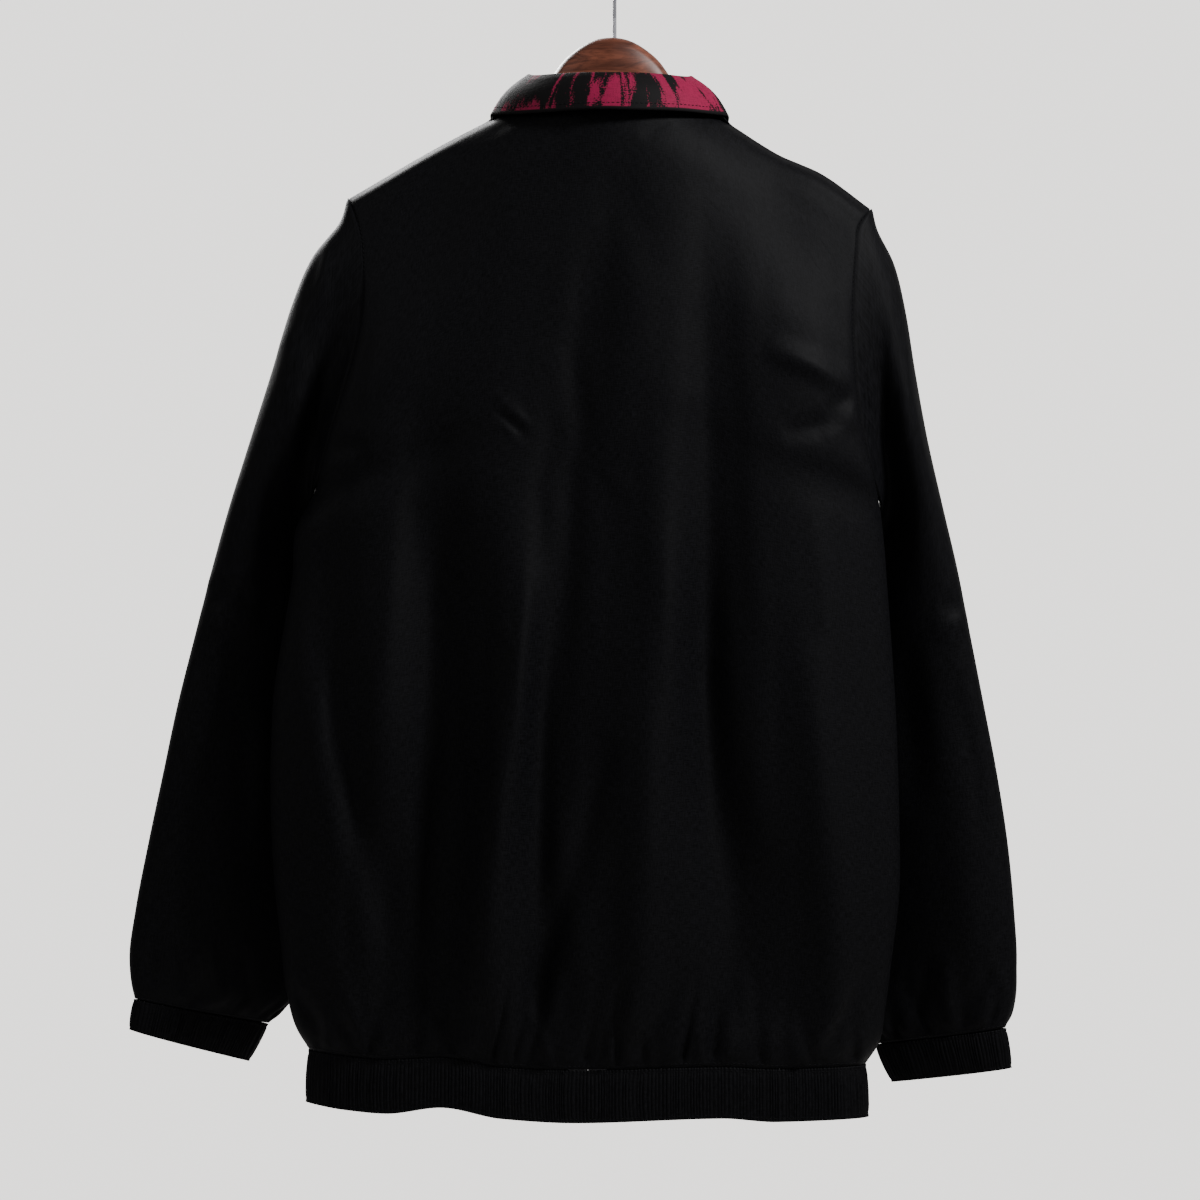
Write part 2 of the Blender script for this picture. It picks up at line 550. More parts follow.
def armhole_ring(hand):
    """The armhole's edge, moved out along the sleeve."""
    back = [body_point(hand, drop, 1) for drop in DROPS[:UNDERARM_ROW + 1]]
    front = [body_point(hand, drop, -1) for drop in DROPS[:UNDERARM_ROW + 1]]
    for end in (0, UNDERARM_ROW):
        back[end] = (back[end] + front[end]) / 2
    outs = [UNDERARM_GAP if row == UNDERARM_ROW else ARMHOLE_GAP
            for row in list(range(UNDERARM_ROW + 1)) + list(range(UNDERARM_ROW - 1, 0, -1))]
    ring = back + list(reversed(front[1:-1]))
    return [point + Vector((hand * out, 0, 0)) for point, out in zip(ring, outs)]


def clear_of_front(point, hand):
    """A sleeve's point, moved forward where it would lie in the body below the underarm."""
    drop = SHOULDER_Z(hand) - point.z
    if drop < ARMHOLE_DROP:
        return point
    edge = LEFT(drop) if hand > 0 else RIGHT(drop)
    beside = hand * (point.x - edge)
    limit = surface_y(edge + hand * min(beside, 0.0), point.z, -1) - SLEEVE_CLEAR
    limit += SLEEVE_STEEP * max(beside - SLEEVE_ASIDE, 0.0)
    return Vector((point.x, min(point.y, limit), point.z))


def hem_outline():
    """Level outline of the hem, from the left edge of the zip round the back to the right."""
    steps = 24
    shares = [math.cos(math.pi / 2 * i / steps) for i in range(steps + 1)]
    spread = []
    for side, hand, order in ((-1, 1, reversed(shares)), (1, 1, shares[1:]),
                              (1, -1, list(reversed(shares))[1:]), (-1, -1, shares[1:])):
        for share in order:
            spread.append((side, hand * share))
    half = (LEFT(BODY_DROP) - RIGHT(BODY_DROP)) / 2
    middle = middle_x(BODY_DROP)
    opening = ZIP_X(BODY_DROP)
    points = []
    for side, xi in spread:
        x = middle + half * xi
        depth = DEPTH[side](BODY_DROP) - HEM_Y
        y = HEM_Y + depth * math.sqrt(max(0.0, 1 - xi * xi)) ** PANEL_FLATNESS
        points.append((Vector((x, y, 0)), side))
    points[0][0].x = opening + ZIP_HALF_OPENING
    points[-1][0].x = opening - ZIP_HALF_OPENING
    return points


def neck_seam():
    """Neck seam from the left front edge round the back to the right, as (point, along):
    along is 0 at the middle of the back, 0.5 at a neck point and 1 at a front edge."""
    inner = COLUMNS[SHOULDER_COLUMNS:]
    last = len(inner) - 1
    seam = []
    for side, hand in ((-1, 1), (1, 1), (1, -1), (-1, -1)):
        stretch = [(body_point(hand * max(xi, MIDDLE), 0.0, side), 0.5 - side * 0.5 * k / last)
                   for k, xi in enumerate(inner)]
        if side * hand < 0:
            stretch.reverse()
        seam += stretch[1:] if seam else stretch
    return seam


def laid_surface():
    """The upper panels' middle surface, facing out, that the collar lies on."""
    points = []
    faces = []
    drops = [drop for drop in DROPS if drop <= LAID_DEPTH]
    left = [max(xi, MIDDLE) for xi in COLUMNS]
    right = [-xi for xi in reversed(left)]
    for side, xis in ((1, left + right[1:]), (-1, list(reversed(left + right)))):
        for row, drop in enumerate(drops):
            start = len(points)
            points += [body_point(xi, drop, side) for xi in xis]
            if row:
                faces += [(above, above + len(xis), above + len(xis) + 1, above + 1)
                          for above in range(start - len(xis), start - 1)]
    return BVHTree.FromPolygons(points, faces)


def laid_on(surface, point):
    """The point, moved out to lie clear of the panels. Above the neck seam it is free."""
    place, normal, _, _ = surface.find_nearest(point)
    if point.z > place.z + COLLAR_CLEAR or (point - place).dot(normal) >= COLLAR_CLEAR:
        return point
    return place + normal * COLLAR_CLEAR


def collar_edge(point, out, along, hand, edge_out, edge_z):
    """Where the fall ends: level round the back, then down to a point on each front."""
    edge = point + out * edge_out
    edge.z = edge_z
    if along > 0.5:
        share = ease(2 * along - 1)
        start_x = (body_point(hand * NECK_XI, 0.0, -1).x) + hand * COLLAR_START
        point_x = ZIP_X(0.0) + hand * (ZIP_HALF_OPENING + COLLAR_POINT_X)
        edge.x = start_x + (point_x - start_x) * share
        edge.y = min(surface_y(edge.x, edge.z, -1), point.y)
    elif along < 0.5:
        edge.y = max(surface_y(edge.x, edge.z, 1), edge.y)
    return edge


def wood_section(x, top, bottom, half_depth, y):
    """Rounded section of the hanger, across its length."""
    side = half_depth * 0.8
    corner = min(side, (top - bottom) * 0.4)
    low = corner * 0.5
    return [Vector((x, y + across, z)) for across, z in (
        (half_depth, top - corner), (half_depth - side, top), (side - half_depth, top),
        (-half_depth, top - corner), (-half_depth, bottom + low),
        (low - half_depth, bottom), (half_depth - low, bottom), (half_depth, bottom + low))]


def arm_y(x):
    """The arms bow forward from the hump to their ends, as the shoulder seams do."""
    if abs(x) < HUMP_EDGE:
        return HUMP_Y + (NECK_Y - HUMP_Y) * ease(abs(x) / HUMP_EDGE)
    return NECK_Y + (ARMHOLE_Y - NECK_Y) * (abs(x) - HUMP_EDGE) / (WOOD_END - HUMP_EDGE)


# ---- creases ----
# A crease on the outside, seen from behind: its two ends, how far it stands out (or in),
# its half width, and how far its middle bows to one side.
Stroke = namedtuple("Stroke", "x0 z0 x1 z1 height half_width bow")


def strokes_of(*rows):
    """Creases from rows in millimetres."""
    return [Stroke(*(value / 1000 for value in row)) for row in rows]


STROKES_BACK = strokes_of(
    (93, -344, 60, -371, 1.6, 3.5, 1), (90, -356, 59, -385, -1.4, 3.5, 1),
    (86, -365, 60, -386, 1.2, 3, 0), (77, -244, 50, -238, 1, 4, 0),
    (96, -154, 63, -134, -1.6, 5, 2), (52, -158, 30, -145, -1.3, 5, 0),
    (-19, -152, -40, -140, -1.1, 5, 0), (222, -389, 182, -383, -2.8, 6, 3),
    (219, -400, 186, -403, 2.2, 7, 0), (-189, -338, -156, -359, -2.8, 6, -2),
    (-193, -350, -154, -377, 2, 7, 0), (197, -235, 209, -347, 2.2, 8, 4),
    (182, -272, 198, -377, -1.6, 9, 0), (-175, -235, -186, -332, 2, 8, -3),
    (-160, -272, -174, -362, -1.4, 9, 0), (161, -422, 182, -617, 1.8, 10, 4),
    (146, -662, 164, -805, 1.6, 8, 0), (123, -572, 114, -722, -1.6, 10, 4),
    (56, -467, 65, -662, 1.8, 9, -4), (22, -497, 17, -692, -1.6, 10, 0),
    (41, -287, 11, -437, -1.4, 10, 4), (-34, -437, -40, -617, 1.8, 11, 4),
    (-68, -272, -57, -437, -1.5, 12, 0), (-96, -362, -109, -527, 1.6, 11, -4),
    (-124, -497, -117, -677, -1.8, 11, 0), (-148, -422, -159, -572, 1.6, 9, 3),
    (-166, -587, -160, -745, -1.6, 9, 0), (213, -512, 219, -662, 1.5, 8, 0),
    (197, -692, 201, -797, -1.4, 7, 0), (-4, -182, -27, -265, -1, 13, 4),
    (108, -212, 131, -295, 1, 14, 4), (-109, -205, -132, -295, 1, 14, -4),
    (138, -467, 108, -497, -1.2, 6, 2), (-57, -527, -87, -548, 1.1, 6, 0),
    (11, -400, -16, -422, 1, 5, 0), (86, -512, 74, -533, 0.9, 4, 0),
    (244, -782, 213, -831, -2.6, 5.5, 2), (206, -805, 186, -836, -2.2, 5, 0),
    (96, -797, 90, -835, -2.2, 5, 0), (86, -805, 86, -836, 2, 4, 0),
    (-19, -760, 11, -836, -2.6, 6, -2), (-57, -771, -17, -835, -2.6, 6, -2),
    (-192, -767, -154, -844, -2.8, 7, -2), (-177, -782, -139, -844, 2.2, 6, 0),
    (146, -786, 131, -839, 2, 6, 0), (41, -767, 47, -836, 2.2, 6, 0),
    (-94, -767, -103, -841, 2.2, 6, 0), (-75, -790, -76, -839, -2, 5, 0),
    (18, -302, 114, -839, 7.5, 13, -4), (144, -422, 131, -842, -8, 20, 6),
    (241, -504, 153, -835, 6, 15, -6), (4, -599, 70, -820, -6.5, 10, 4),
    (-57, -347, -96, -827, -8, 18, -6), (-146, -527, -166, -835, 5.5, 15, 4),
    (41, -647, 18, -835, 4, 14, 0), (-27, -572, -19, -827, 3.2, 14, 0),
    (-111, -310, -181, -342, 5, 8, 3), (-123, -374, -177, -362, -3.6, 8, 0),
    (-19, -220, 11, -407, 3.6, 20, 6))
STROKES_FRONT = strokes_of(
    (236, -392, 182, -386, -2.6, 6, 3), (-189, -346, -148, -362, -2.6, 6, -2),
    (191, -257, 197, -377, 1.8, 8, 4), (-177, -257, -181, -347, 1.8, 8, -3),
    (161, -407, 168, -617, 1.8, 10, 4), (122, -467, 131, -677, -1.6, 10, 0),
    (82, -362, 71, -572, 1.6, 11, -3), (52, -572, 47, -782, -1.5, 9, 0),
    (-27, -362, -21, -572, 1.6, 11, 3), (-64, -512, -73, -722, -1.8, 10, 0),
    (-106, -362, -117, -572, 1.8, 11, -4), (-148, -467, -159, -677, -1.6, 9, 0),
    (206, -572, 213, -737, 1.4, 8, 0), (138, -235, 108, -295, -1.2, 10, 3),
    (-132, -235, -103, -295, -1.2, 10, -3), (86, -707, 71, -835, 2, 6, 0),
    (176, -767, 189, -835, -2.2, 6, 0), (-34, -760, -43, -835, -2.2, 6, 0),
    (-94, -767, -84, -836, 2, 6, 0), (-154, -752, -168, -836, -2.2, 6, 0),
    (108, -370, 86, -386, 1, 4, 0), (-79, -400, -57, -415, 1, 4, 0))
STROKES_SLEEVE_LEFT = strokes_of(
    (207, -214, 233, -295, 3.2, 7, 3), (231, -287, 248, -400, 2.6, 8, 3),
    (206, -280, 201, -335, -2, 6, 0), (221, -235, 236, -347, -2.4, 9, 0),
    (314, -500, 273, -491, -3, 7, 3), (311, -514, 264, -506, 2.2, 7, 0),
    (311, -488, 278, -475, 1.8, 6, 0), (281, -400, 294, -497, 1.8, 9, 0),
    (260, -407, 264, -527, -2, 10, 4), (300, -535, 318, -662, 1.6, 9, 0),
    (281, -572, 290, -707, -1.6, 9, 4), (326, -617, 341, -737, 1.4, 8, 0),
    (264, -572, 269, -692, 1.6, 8, 0), (348, -745, 350, -790, -2.2, 5, 0),
    (330, -745, 324, -797, -2.2, 5, 0), (307, -752, 299, -805, 2.2, 5, 0),
    (282, -760, 276, -811, -2, 5, 0), (243, -295, 264, -317, 1.4, 6, 0))
STROKES_SLEEVE_RIGHT = strokes_of(
    (-184, -208, -199, -272, 3, 6, 3), (-199, -269, -186, -320, 2.6, 6, 2),
    (-202, -227, -216, -332, -2, 8, 0), (-214, -332, -237, -437, 2, 9, 0),
    (-199, -377, -216, -482, -2, 10, 4), (-271, -497, -243, -506, -2.6, 6, 0),
    (-268, -512, -237, -520, 2, 6, 0), (-237, -527, -252, -647, 1.6, 9, 0),
    (-259, -565, -277, -685, -1.6, 8, 4), (-218, -527, -228, -662, -1.8, 10, 0),
    (-290, -760, -261, -802, -2.6, 6, 6), (-282, -752, -292, -797, 2, 5, 0),
    (-237, -767, -231, -815, -2.2, 5, 0), (-253, -760, -252, -812, 2, 5, 0),
    (-218, -767, -211, -815, 1.8, 5, 0))
# Pleats and tucks that spring from a seam: their mean spacing, height and reach, and how
# narrow each one is against its spacing.
Pleats = namedtuple("Pleats", "pitch height reach seed narrow")
HEM_PLEATS_BACK = (Pleats(0.0190, 0.0060, 0.125, 11, 0.28),
                   Pleats(0.0260, -0.0085, 0.110, 21, 0.11))
HEM_PLEATS_FRONT = (Pleats(0.0190, 0.0055, 0.115, 12, 0.28),
                    Pleats(0.0260, -0.0080, 0.100, 22, 0.11))
CUFF_PLEATS = {
    1: (Pleats(0.0160, 0.0045, 0.090, 13, 0.28), Pleats(0.0180, -0.0065, 0.080, 23, 0.13)),
    -1: (Pleats(0.0160, 0.0045, 0.085, 14, 0.28), Pleats(0.0180, -0.0065, 0.080, 24, 0.13)),
}
CAP_PLEATS = (Pleats(0.016, 0.0007, 0.030, 15, 0.40),)
PLEAT_START = 0.012                  # from the seam up to a pleat's full height


def ease_all(t):
    t = np.clip(t, 0.0, 1.0)
    return t * t * (3 - 2 * t)


def strokes_at(x, z, strokes):
    """Summed height of the creases at these places."""
    total = np.zeros_like(x)
    for stroke in strokes:
        dx = stroke.x1 - stroke.x0
        dz = stroke.z1 - stroke.z0
        length = math.hypot(dx, dz)
        along = ((x - stroke.x0) * dx + (z - stroke.z0) * dz) / length ** 2
        inside = np.clip(4 * along * (1 - along), 0.0, 1.0)
        off = ((x - stroke.x0) * dz - (z - stroke.z0) * dx) / length - stroke.bow * inside
        total += stroke.height * inside ** 0.8 * np.exp(-(off / stroke.half_width) ** 2)
    return total


def pleats_at(along, up, kinds, start=PLEAT_START):
    """Height of the pleats that spring from a seam: along it, and up away from it."""
    total = np.zeros_like(along)
    last = along.max()
    for pleats in kinds:
        random = np.random.default_rng(pleats.seed)
        place = along.min()
        while place < last:
            width = pleats.pitch * random.uniform(0.55, 1.55)
            place += width
            lean = random.uniform(-0.28, 0.28)
            length = pleats.reach * random.uniform(0.30, 1.0)
            height = pleats.height * random.uniform(0.35, 1.0)
            share = np.clip(up / length, 0.0, 1.0)
            off = (along - place - lean * up) / (width * pleats.narrow * (1 + 1.4 * share))
            total += height * ease_all(up / start) * (1 - share) ** 1.4 * np.exp(-off ** 2)
    return total


# ---- finer grids ----
def curve_through(points, cuts, wrap=False):
    """Smooth curves along the first axis of a grid, with cuts steps between its rows."""
    if wrap:
        points = np.concatenate([points, points[:1]])
    chords = np.diff(points, axis=0)
    steps = np.linalg.norm(chords, axis=2).mean(axis=1) + 1e-9
    rises = chords / steps[:, None, None]
    if wrap:
        before = np.concatenate([rises[-1:], rises])
        after = np.concatenate([rises, rises[:1]])
        step_before = np.concatenate([steps[-1:], steps])
        step_after = np.concatenate([steps, steps[:1]])
    else:
        before = np.concatenate([rises[:1], rises])
        after = np.concatenate([rises, rises[-1:]])
        step_before = np.concatenate([steps[:1], steps])
        step_after = np.concatenate([steps, steps[-1:]])
    weight = (step_before / (step_before + step_after))[:, None, None]
    slopes = before * (1 - weight) + after * weight
    result = []
    for i, step in enumerate(steps):
        for k in range(cuts):
            t = k / cuts
            result.append(points[i] * (1 + 2 * t) * (1 - t) ** 2
                          + points[i + 1] * t * t * (3 - 2 * t)
                          + slopes[i] * step * t * (1 - t) ** 2
                          - slopes[i + 1] * step * t * t * (1 - t))
    if not wrap:
        result.append(points[-1])
    return np.array(result)


def finer(rows, across, down, wrap=False):
    grid = np.array([[list(point) for point in row] for row in rows])
    grid = curve_through(grid, down)
    return curve_through(grid.transpose(1, 0, 2), across, wrap).transpose(1, 0, 2)


def normals_of(grid, wrap=False):
    """Unit normals of a grid: down its rows crossed with along them."""
    down = np.gradient(grid, axis=0)
    if wrap:
        across = np.roll(grid, -1, axis=1) - np.roll(grid, 1, axis=1)
    else:
        across = np.gradient(grid, axis=1)
    normals = np.cross(down, across)
    return normals / (np.linalg.norm(normals, axis=2, keepdims=True) + 1e-12)


def run_lengths(grid, axis):
    """Distance run along an axis of the grid, from its start."""
    chords = np.linalg.norm(np.diff(grid, axis=axis), axis=2)
    start = np.zeros_like(np.take(chords, [0], axis=axis))
    return np.concatenate([start, np.cumsum(chords, axis=axis)], axis=axis)


# ---- making pieces ----
def select_only(*objects):
    bpy.ops.object.select_all(action="DESELECT")
    for thing in objects:
        thing.select_set(True)
    if objects:
        bpy.context.view_layer.objects.active = objects[0]


def new_object(name, mesh, finish):
    made = bpy.data.objects.new(name, mesh)
    bpy.context.scene.collection.objects.link(made)
    mesh.materials.clear()
    mesh.materials.append(finish)
    return made


def apply_all(made):
    select_only(made)
    for modifier in list(made.modifiers):
        bpy.ops.object.modifier_apply(modifier=modifier.name)


def sheet_mesh(name, grid, wrap=False):
    """Quads over a grid, with a UV map in metres along and down the cloth."""
    rows, columns = grid.shape[:2]
    width = columns if wrap else columns - 1
    faces = []
    for i in range(rows - 1):
        for j in range(width):
            k = (j + 1) % columns
            faces.append((i * columns + j, (i + 1) * columns + j,
                          (i + 1) * columns + k, i * columns + k))
    mesh = bpy.data.meshes.new(name)
    mesh.from_pydata(grid.reshape(-1, 3).tolist(), [], faces)
    closed = np.concatenate([grid, grid[:, :1]], axis=1) if wrap else grid
    middle = closed.shape[0] // 2
    across = run_lengths(closed, 1)[middle]
    down = run_lengths(closed, 0)[:, closed.shape[1] // 2]
    corners = []
    for i in range(rows - 1):
        for j in range(width):
            corners += [across[j], down[i], across[j], down[i + 1],
                        across[j + 1], down[i + 1], across[j + 1], down[i]]
    layer = mesh.uv_layers.new(name="Cloth")
    layer.data.foreach_set("uv", corners)
    mesh.shade_smooth()
    return mesh


def cloth(name, grid, finish, wall, wrap=False):
    """A piece of cloth through the grid, with its wall on both sides of it."""
    made = new_object(name, sheet_mesh(name, grid, wrap), finish)
    solidify = made.modifiers.new("wall", "SOLIDIFY")
    solidify.thickness = wall
    solidify.offset = 0.0
    apply_all(made)
    return made


def stitches(name, paths, finish, pitch=0.0036, length=0.0026, width=0.00055):
    """Short threads along paths of (points, outward): each a flattened six-sided bead."""
    mesh = bmesh.new()
    for points, outs in paths:
        runs = run_lengths(points[None], 1)[0]
        for target in np.arange(pitch / 2, runs[-1] - length, pitch):
            ends = []
            for place in (target, target + length):
                k = min(int(np.searchsorted(runs, place)), len(runs) - 1)
                share = (place - runs[k - 1]) / max(runs[k] - runs[k - 1], 1e-9)
                point = points[k - 1] + (points[k] - points[k - 1]) * share
                ends.append((Vector(point), Vector(outs[k])))
            (start, out), (end, _) = ends
            side = (end - start).cross(out).normalized() * width / 2
            lift = out * width * 0.45
            low = [mesh.verts.new(start), mesh.verts.new(end)]
            ring = []
            for share in (0.2, 0.8):
                centre = start.lerp(end, share)
                ring.append([mesh.verts.new(centre + side), mesh.verts.new(centre + lift),
                             mesh.verts.new(centre - side), mesh.verts.new(centre - lift)])
            for i in range(4):
                j = (i + 1) % 4
                mesh.faces.new((low[0], ring[0][j], ring[0][i]))
                mesh.faces.new((ring[0][i], ring[0][j], ring[1][j], ring[1][i]))
                mesh.faces.new((low[1], ring[1][i], ring[1][j]))
    bmesh.ops.recalc_face_normals(mesh, faces=mesh.faces)
    data = bpy.data.meshes.new(name)
    mesh.to_mesh(data)
    mesh.free()
    data.shade_smooth()
    return new_object(name, data, finish)


# ---- materials ----
def group(name, inputs, outputs):
    """An empty node group with its sockets: each name and kind, and an input's value."""
    made = bpy.data.node_groups.new(name, "ShaderNodeTree")
    for title, kind, value in inputs:
        socket = made.interface.new_socket(title, in_out="INPUT", socket_type=kind)
        if value is not None:
            socket.default_value = value
    for title, kind in outputs:
        made.interface.new_socket(title, in_out="OUTPUT", socket_type=kind)
    return made, made.nodes.new("NodeGroupInput"), made.nodes.new("NodeGroupOutput")


def node(tree, kind, links=(), **values):
    """A node with its values set by socket or property, and its inputs linked."""
    made = tree.nodes.new(kind)
    for key, value in values.items():
        if hasattr(made, key):
            setattr(made, key, value)
        else:
            made.inputs[key.replace("_", " ")].default_value = value
    for socket, source in links:
        tree.links.new(source, made.inputs[socket])
    return made


def maths(tree, operation, first, second):
    made = tree.nodes.new("ShaderNodeMath")
    made.operation = operation
    for socket, value in zip(made.inputs, (first, second)):
        if isinstance(value, (int, float)):
            socket.default_value = value
        else:
            tree.links.new(value, socket)
    return made.outputs[0]


def woven_group():
    """Crossed threads with slubs: height, and a shade that follows single threads."""
    tree, given, out = group("Woven threads", [("Vector", "NodeSocketVector", None),
                                               ("Threads", "NodeSocketFloat", 1600.0)],
                             [("Height", "NodeSocketFloat"), ("Shade", "NodeSocketFloat")])
    heights = []
    for stretch in ((1.0, 0.11, 1.0), (0.11, 1.0, 1.0)):
        place = node(tree, "ShaderNodeVectorMath", [(0, given.outputs["Vector"])],
                     operation="MULTIPLY")
        place.inputs[1].default_value = stretch
        noise = node(tree, "ShaderNodeTexNoise", [("Vector", place.outputs[0]),
                                                  ("Scale", given.outputs["Threads"])],
                     Detail=1.5, Roughness=0.55)
        heights.append(noise.outputs["Fac"])
    tree.links.new(maths(tree, "MAXIMUM", *heights), out.inputs["Height"])
    tree.links.new(maths(tree, "ADD", *heights), out.inputs["Shade"])
    return tree


def crumple_group():
    """Soft dents and faint creases of light cloth that has been folded."""
    tree, given, out = group("Soft crumple", [("Vector", "NodeSocketVector", None),
                                              ("Scale", "NodeSocketFloat", 14.0)],
                             [("Height", "NodeSocketFloat")])
    stretched = node(tree, "ShaderNodeVectorMath", [(0, given.outputs["Vector"])],
                     operation="MULTIPLY")
    stretched.inputs[1].default_value = (1.0, 0.45, 1.0)
    broad = node(tree, "ShaderNodeTexNoise", [("Vector", stretched.outputs[0]),
                                              ("Scale", given.outputs["Scale"])],
                 Detail=2.0, Roughness=0.45, Distortion=0.5)
    fine_scale = maths(tree, "MULTIPLY", given.outputs["Scale"], 5.0)
    fine = node(tree, "ShaderNodeTexNoise", [("Vector", given.outputs["Vector"]),
                                             ("Scale", fine_scale)],
                Detail=2.0, Roughness=0.5, Distortion=0.8)
    faint = maths(tree, "MULTIPLY", fine.outputs["Fac"], 0.16)
    tree.links.new(maths(tree, "ADD", broad.outputs["Fac"], faint), out.inputs["Height"])
    return tree


def streak_group():
    """Mask of ragged slanting streaks, dense in some places and thin in others."""
    tree, given, out = group("Ragged streaks", [("Vector", "NodeSocketVector", None),
                                                ("Coverage", "NodeSocketFloat", 0.5)],
                             [("Mask", "NodeSocketFloat")])
    turned = node(tree, "ShaderNodeMapping", [("Vector", given.outputs["Vector"])])
    turned.inputs["Rotation"].default_value = (0, 0, math.radians(64))
    turned.inputs["Scale"].default_value = (16.0, 90.0, 1.0)
    streak = node(tree, "ShaderNodeTexNoise", [("Vector", turned.outputs[0])],
                  Scale=1.0, Detail=3.0, Roughness=0.62, Distortion=0.35)
    patch = node(tree, "ShaderNodeTexNoise", [("Vector", given.outputs["Vector"])],
                 Scale=21.0, Detail=0.5, Roughness=0.4)
    ragged = node(tree, "ShaderNodeTexNoise", [("Vector", given.outputs["Vector"])],
                  Scale=900.0, Detail=1.0)
    level = maths(tree, "ADD", maths(tree, "MULTIPLY", streak.outputs["Fac"], 1.25),
                  maths(tree, "MULTIPLY", patch.outputs["Fac"], 1.2))
    level = maths(tree, "ADD", level, maths(tree, "MULTIPLY", ragged.outputs["Fac"], 0.28))
    level = maths(tree, "ADD", level, given.outputs["Coverage"])
    sharp = node(tree, "ShaderNodeMapRange", [("Value", level)])
    sharp.inputs["From Min"].default_value = 1.86
    sharp.inputs["From Max"].default_value = 1.92
    tree.links.new(sharp.outputs[0], out.inputs["Mask"])
    return tree


def grain_group():
    """Wood grain along X: growth lines and pores."""
    tree, given, out = group("Wood grain", [("Vector", "NodeSocketVector", None)],
                             [("Rings", "NodeSocketFloat"), ("Pores", "NodeSocketFloat")])
    stretched = node(tree, "ShaderNodeMapping", [("Vector", given.outputs["Vector"])])
    stretched.inputs["Scale"].default_value = (9.0, 60.0, 75.0)
    rings = node(tree, "ShaderNodeTexNoise", [("Vector", stretched.outputs[0])],
                 Scale=1.6, Detail=5.0, Roughness=0.62, Distortion=1.4)
    pores = node(tree, "ShaderNodeTexNoise", [("Vector", stretched.outputs[0])],
                 Scale=14.0, Detail=2.0, Roughness=0.6)
    tree.links.new(rings.outputs["Fac"], out.inputs["Rings"])
    tree.links.new(pores.outputs["Fac"], out.inputs["Pores"])
    return tree


def shared(name, build):
    return bpy.data.node_groups.get(name) or build()


def use_group(tree, name, build, links=(), **values):
    made = tree.nodes.new("ShaderNodeGroup")
    made.node_tree = shared(name, build)
    for key, value in values.items():
        made.inputs[key].default_value = value
    for socket, source in links:
        tree.links.new(source, made.inputs[socket])
    return made


def plain(name, colour, roughness, metallic=0.0):
    """A new material with a Principled shader, and its tree."""
    made = bpy.data.materials.new(name)
    made.use_nodes = True
    shader = made.node_tree.nodes["Principled BSDF"]
    shader.inputs["Base Color"].default_value = (*colour, 1)
    shader.inputs["Roughness"].default_value = roughness
    shader.inputs["Metallic"].default_value = metallic
    made.diffuse_color = (*colour, 1)
    return made, made.node_tree, shader


def shaded(tree, mask, dark, light):
    """Mix of two colours by a mask."""
    mix = node(tree, "ShaderNodeMix", data_type="RGBA")
    tree.links.new(mask, mix.inputs["Factor"])
    for socket in mix.inputs:
        if socket.type == "RGBA":
            socket.default_value = (*(dark if socket.name == "A" else light), 1)
    return [socket for socket in mix.outputs if socket.type == "RGBA"][0]


def bumped(tree, shader, heights):
    """Bumps in turn, each (height, strength, distance), into the shader's normal."""
    normal = None
    for height, strength, distance in heights:
        bump = node(tree, "ShaderNodeBump", [("Height", height)],
                    Strength=strength, Distance=distance)
        if normal:
            tree.links.new(normal, bump.inputs["Normal"])
        normal = bump.outputs["Normal"]
    tree.links.new(normal, shader.inputs["Normal"])


def shell_material(name, settings, crumple):
    """The black shell cloth: woven threads, slubs and a faint crumple."""
    found = bpy.data.materials.get(name)
    if found:
        return found
    made, tree, shader = plain(name, settings.shell_colour, settings.shell_roughness)
    shader.inputs["Specular IOR Level"].default_value = 0.006
    place = node(tree, "ShaderNodeTexCoord")
    threads = use_group(tree, "Woven threads", woven_group,
                        [("Vector", place.outputs["UV"])], Threads=settings.threads)
    soft = use_group(tree, "Soft crumple", crumple_group, [("Vector", place.outputs["UV"])])
    colour = tuple(settings.shell_colour)
    light = tuple(min(1.0, part * 1.9) for part in colour)
    dark = tuple(part * 0.55 for part in colour)
    mask = node(tree, "ShaderNodeMapRange", [("Value", threads.outputs["Shade"])])
    mask.inputs["From Min"].default_value = 0.75
    mask.inputs["From Max"].default_value = 1.25
    tree.links.new(shaded(tree, mask.outputs[0], dark, light), shader.inputs["Base Color"])
    bumped(tree, shader, [(soft.outputs["Height"], crumple, 0.004),
                          (threads.outputs["Height"], 0.30, 0.0004)])
    return made


def collar_material(settings, cloth_settings):
    """Woven black with ragged crimson streaks, plain towards the fall's edge."""
    made, tree, shader = plain("Printed collar cloth", settings.ground, 0.7)
    shader.inputs["Specular IOR Level"].default_value = 0.010
    place = node(tree, "ShaderNodeTexCoord")
    threads = use_group(tree, "Woven threads", woven_group,
                        [("Vector", place.outputs["UV"])], Threads=cloth_settings.threads)
    streaks = use_group(tree, "Ragged streaks", streak_group,
                        [("Vector", place.outputs["UV"])], Coverage=settings.coverage)
    parts = node(tree, "ShaderNodeSeparateXYZ", [(0, place.outputs["UV"])])
    edge = node(tree, "ShaderNodeMapRange", [("Value", parts.outputs["X"])])
    edge.inputs["From Min"].default_value = settings.edge_from
    edge.inputs["From Max"].default_value = settings.edge_from + 0.0006
    edge.inputs["To Min"].default_value = 1.0
    edge.inputs["To Max"].default_value = 0.0
    mask = maths(tree, "MULTIPLY", streaks.outputs["Mask"], edge.outputs[0])
    worn = maths(tree, "MULTIPLY", mask, maths(tree, "MULTIPLY", threads.outputs["Shade"], 0.95))
    tree.links.new(shaded(tree, worn, settings.ground, settings.streaks),
                   shader.inputs["Base Color"])
    bumped(tree, shader, [(threads.outputs["Height"], 0.35, 0.0004)])
    return made


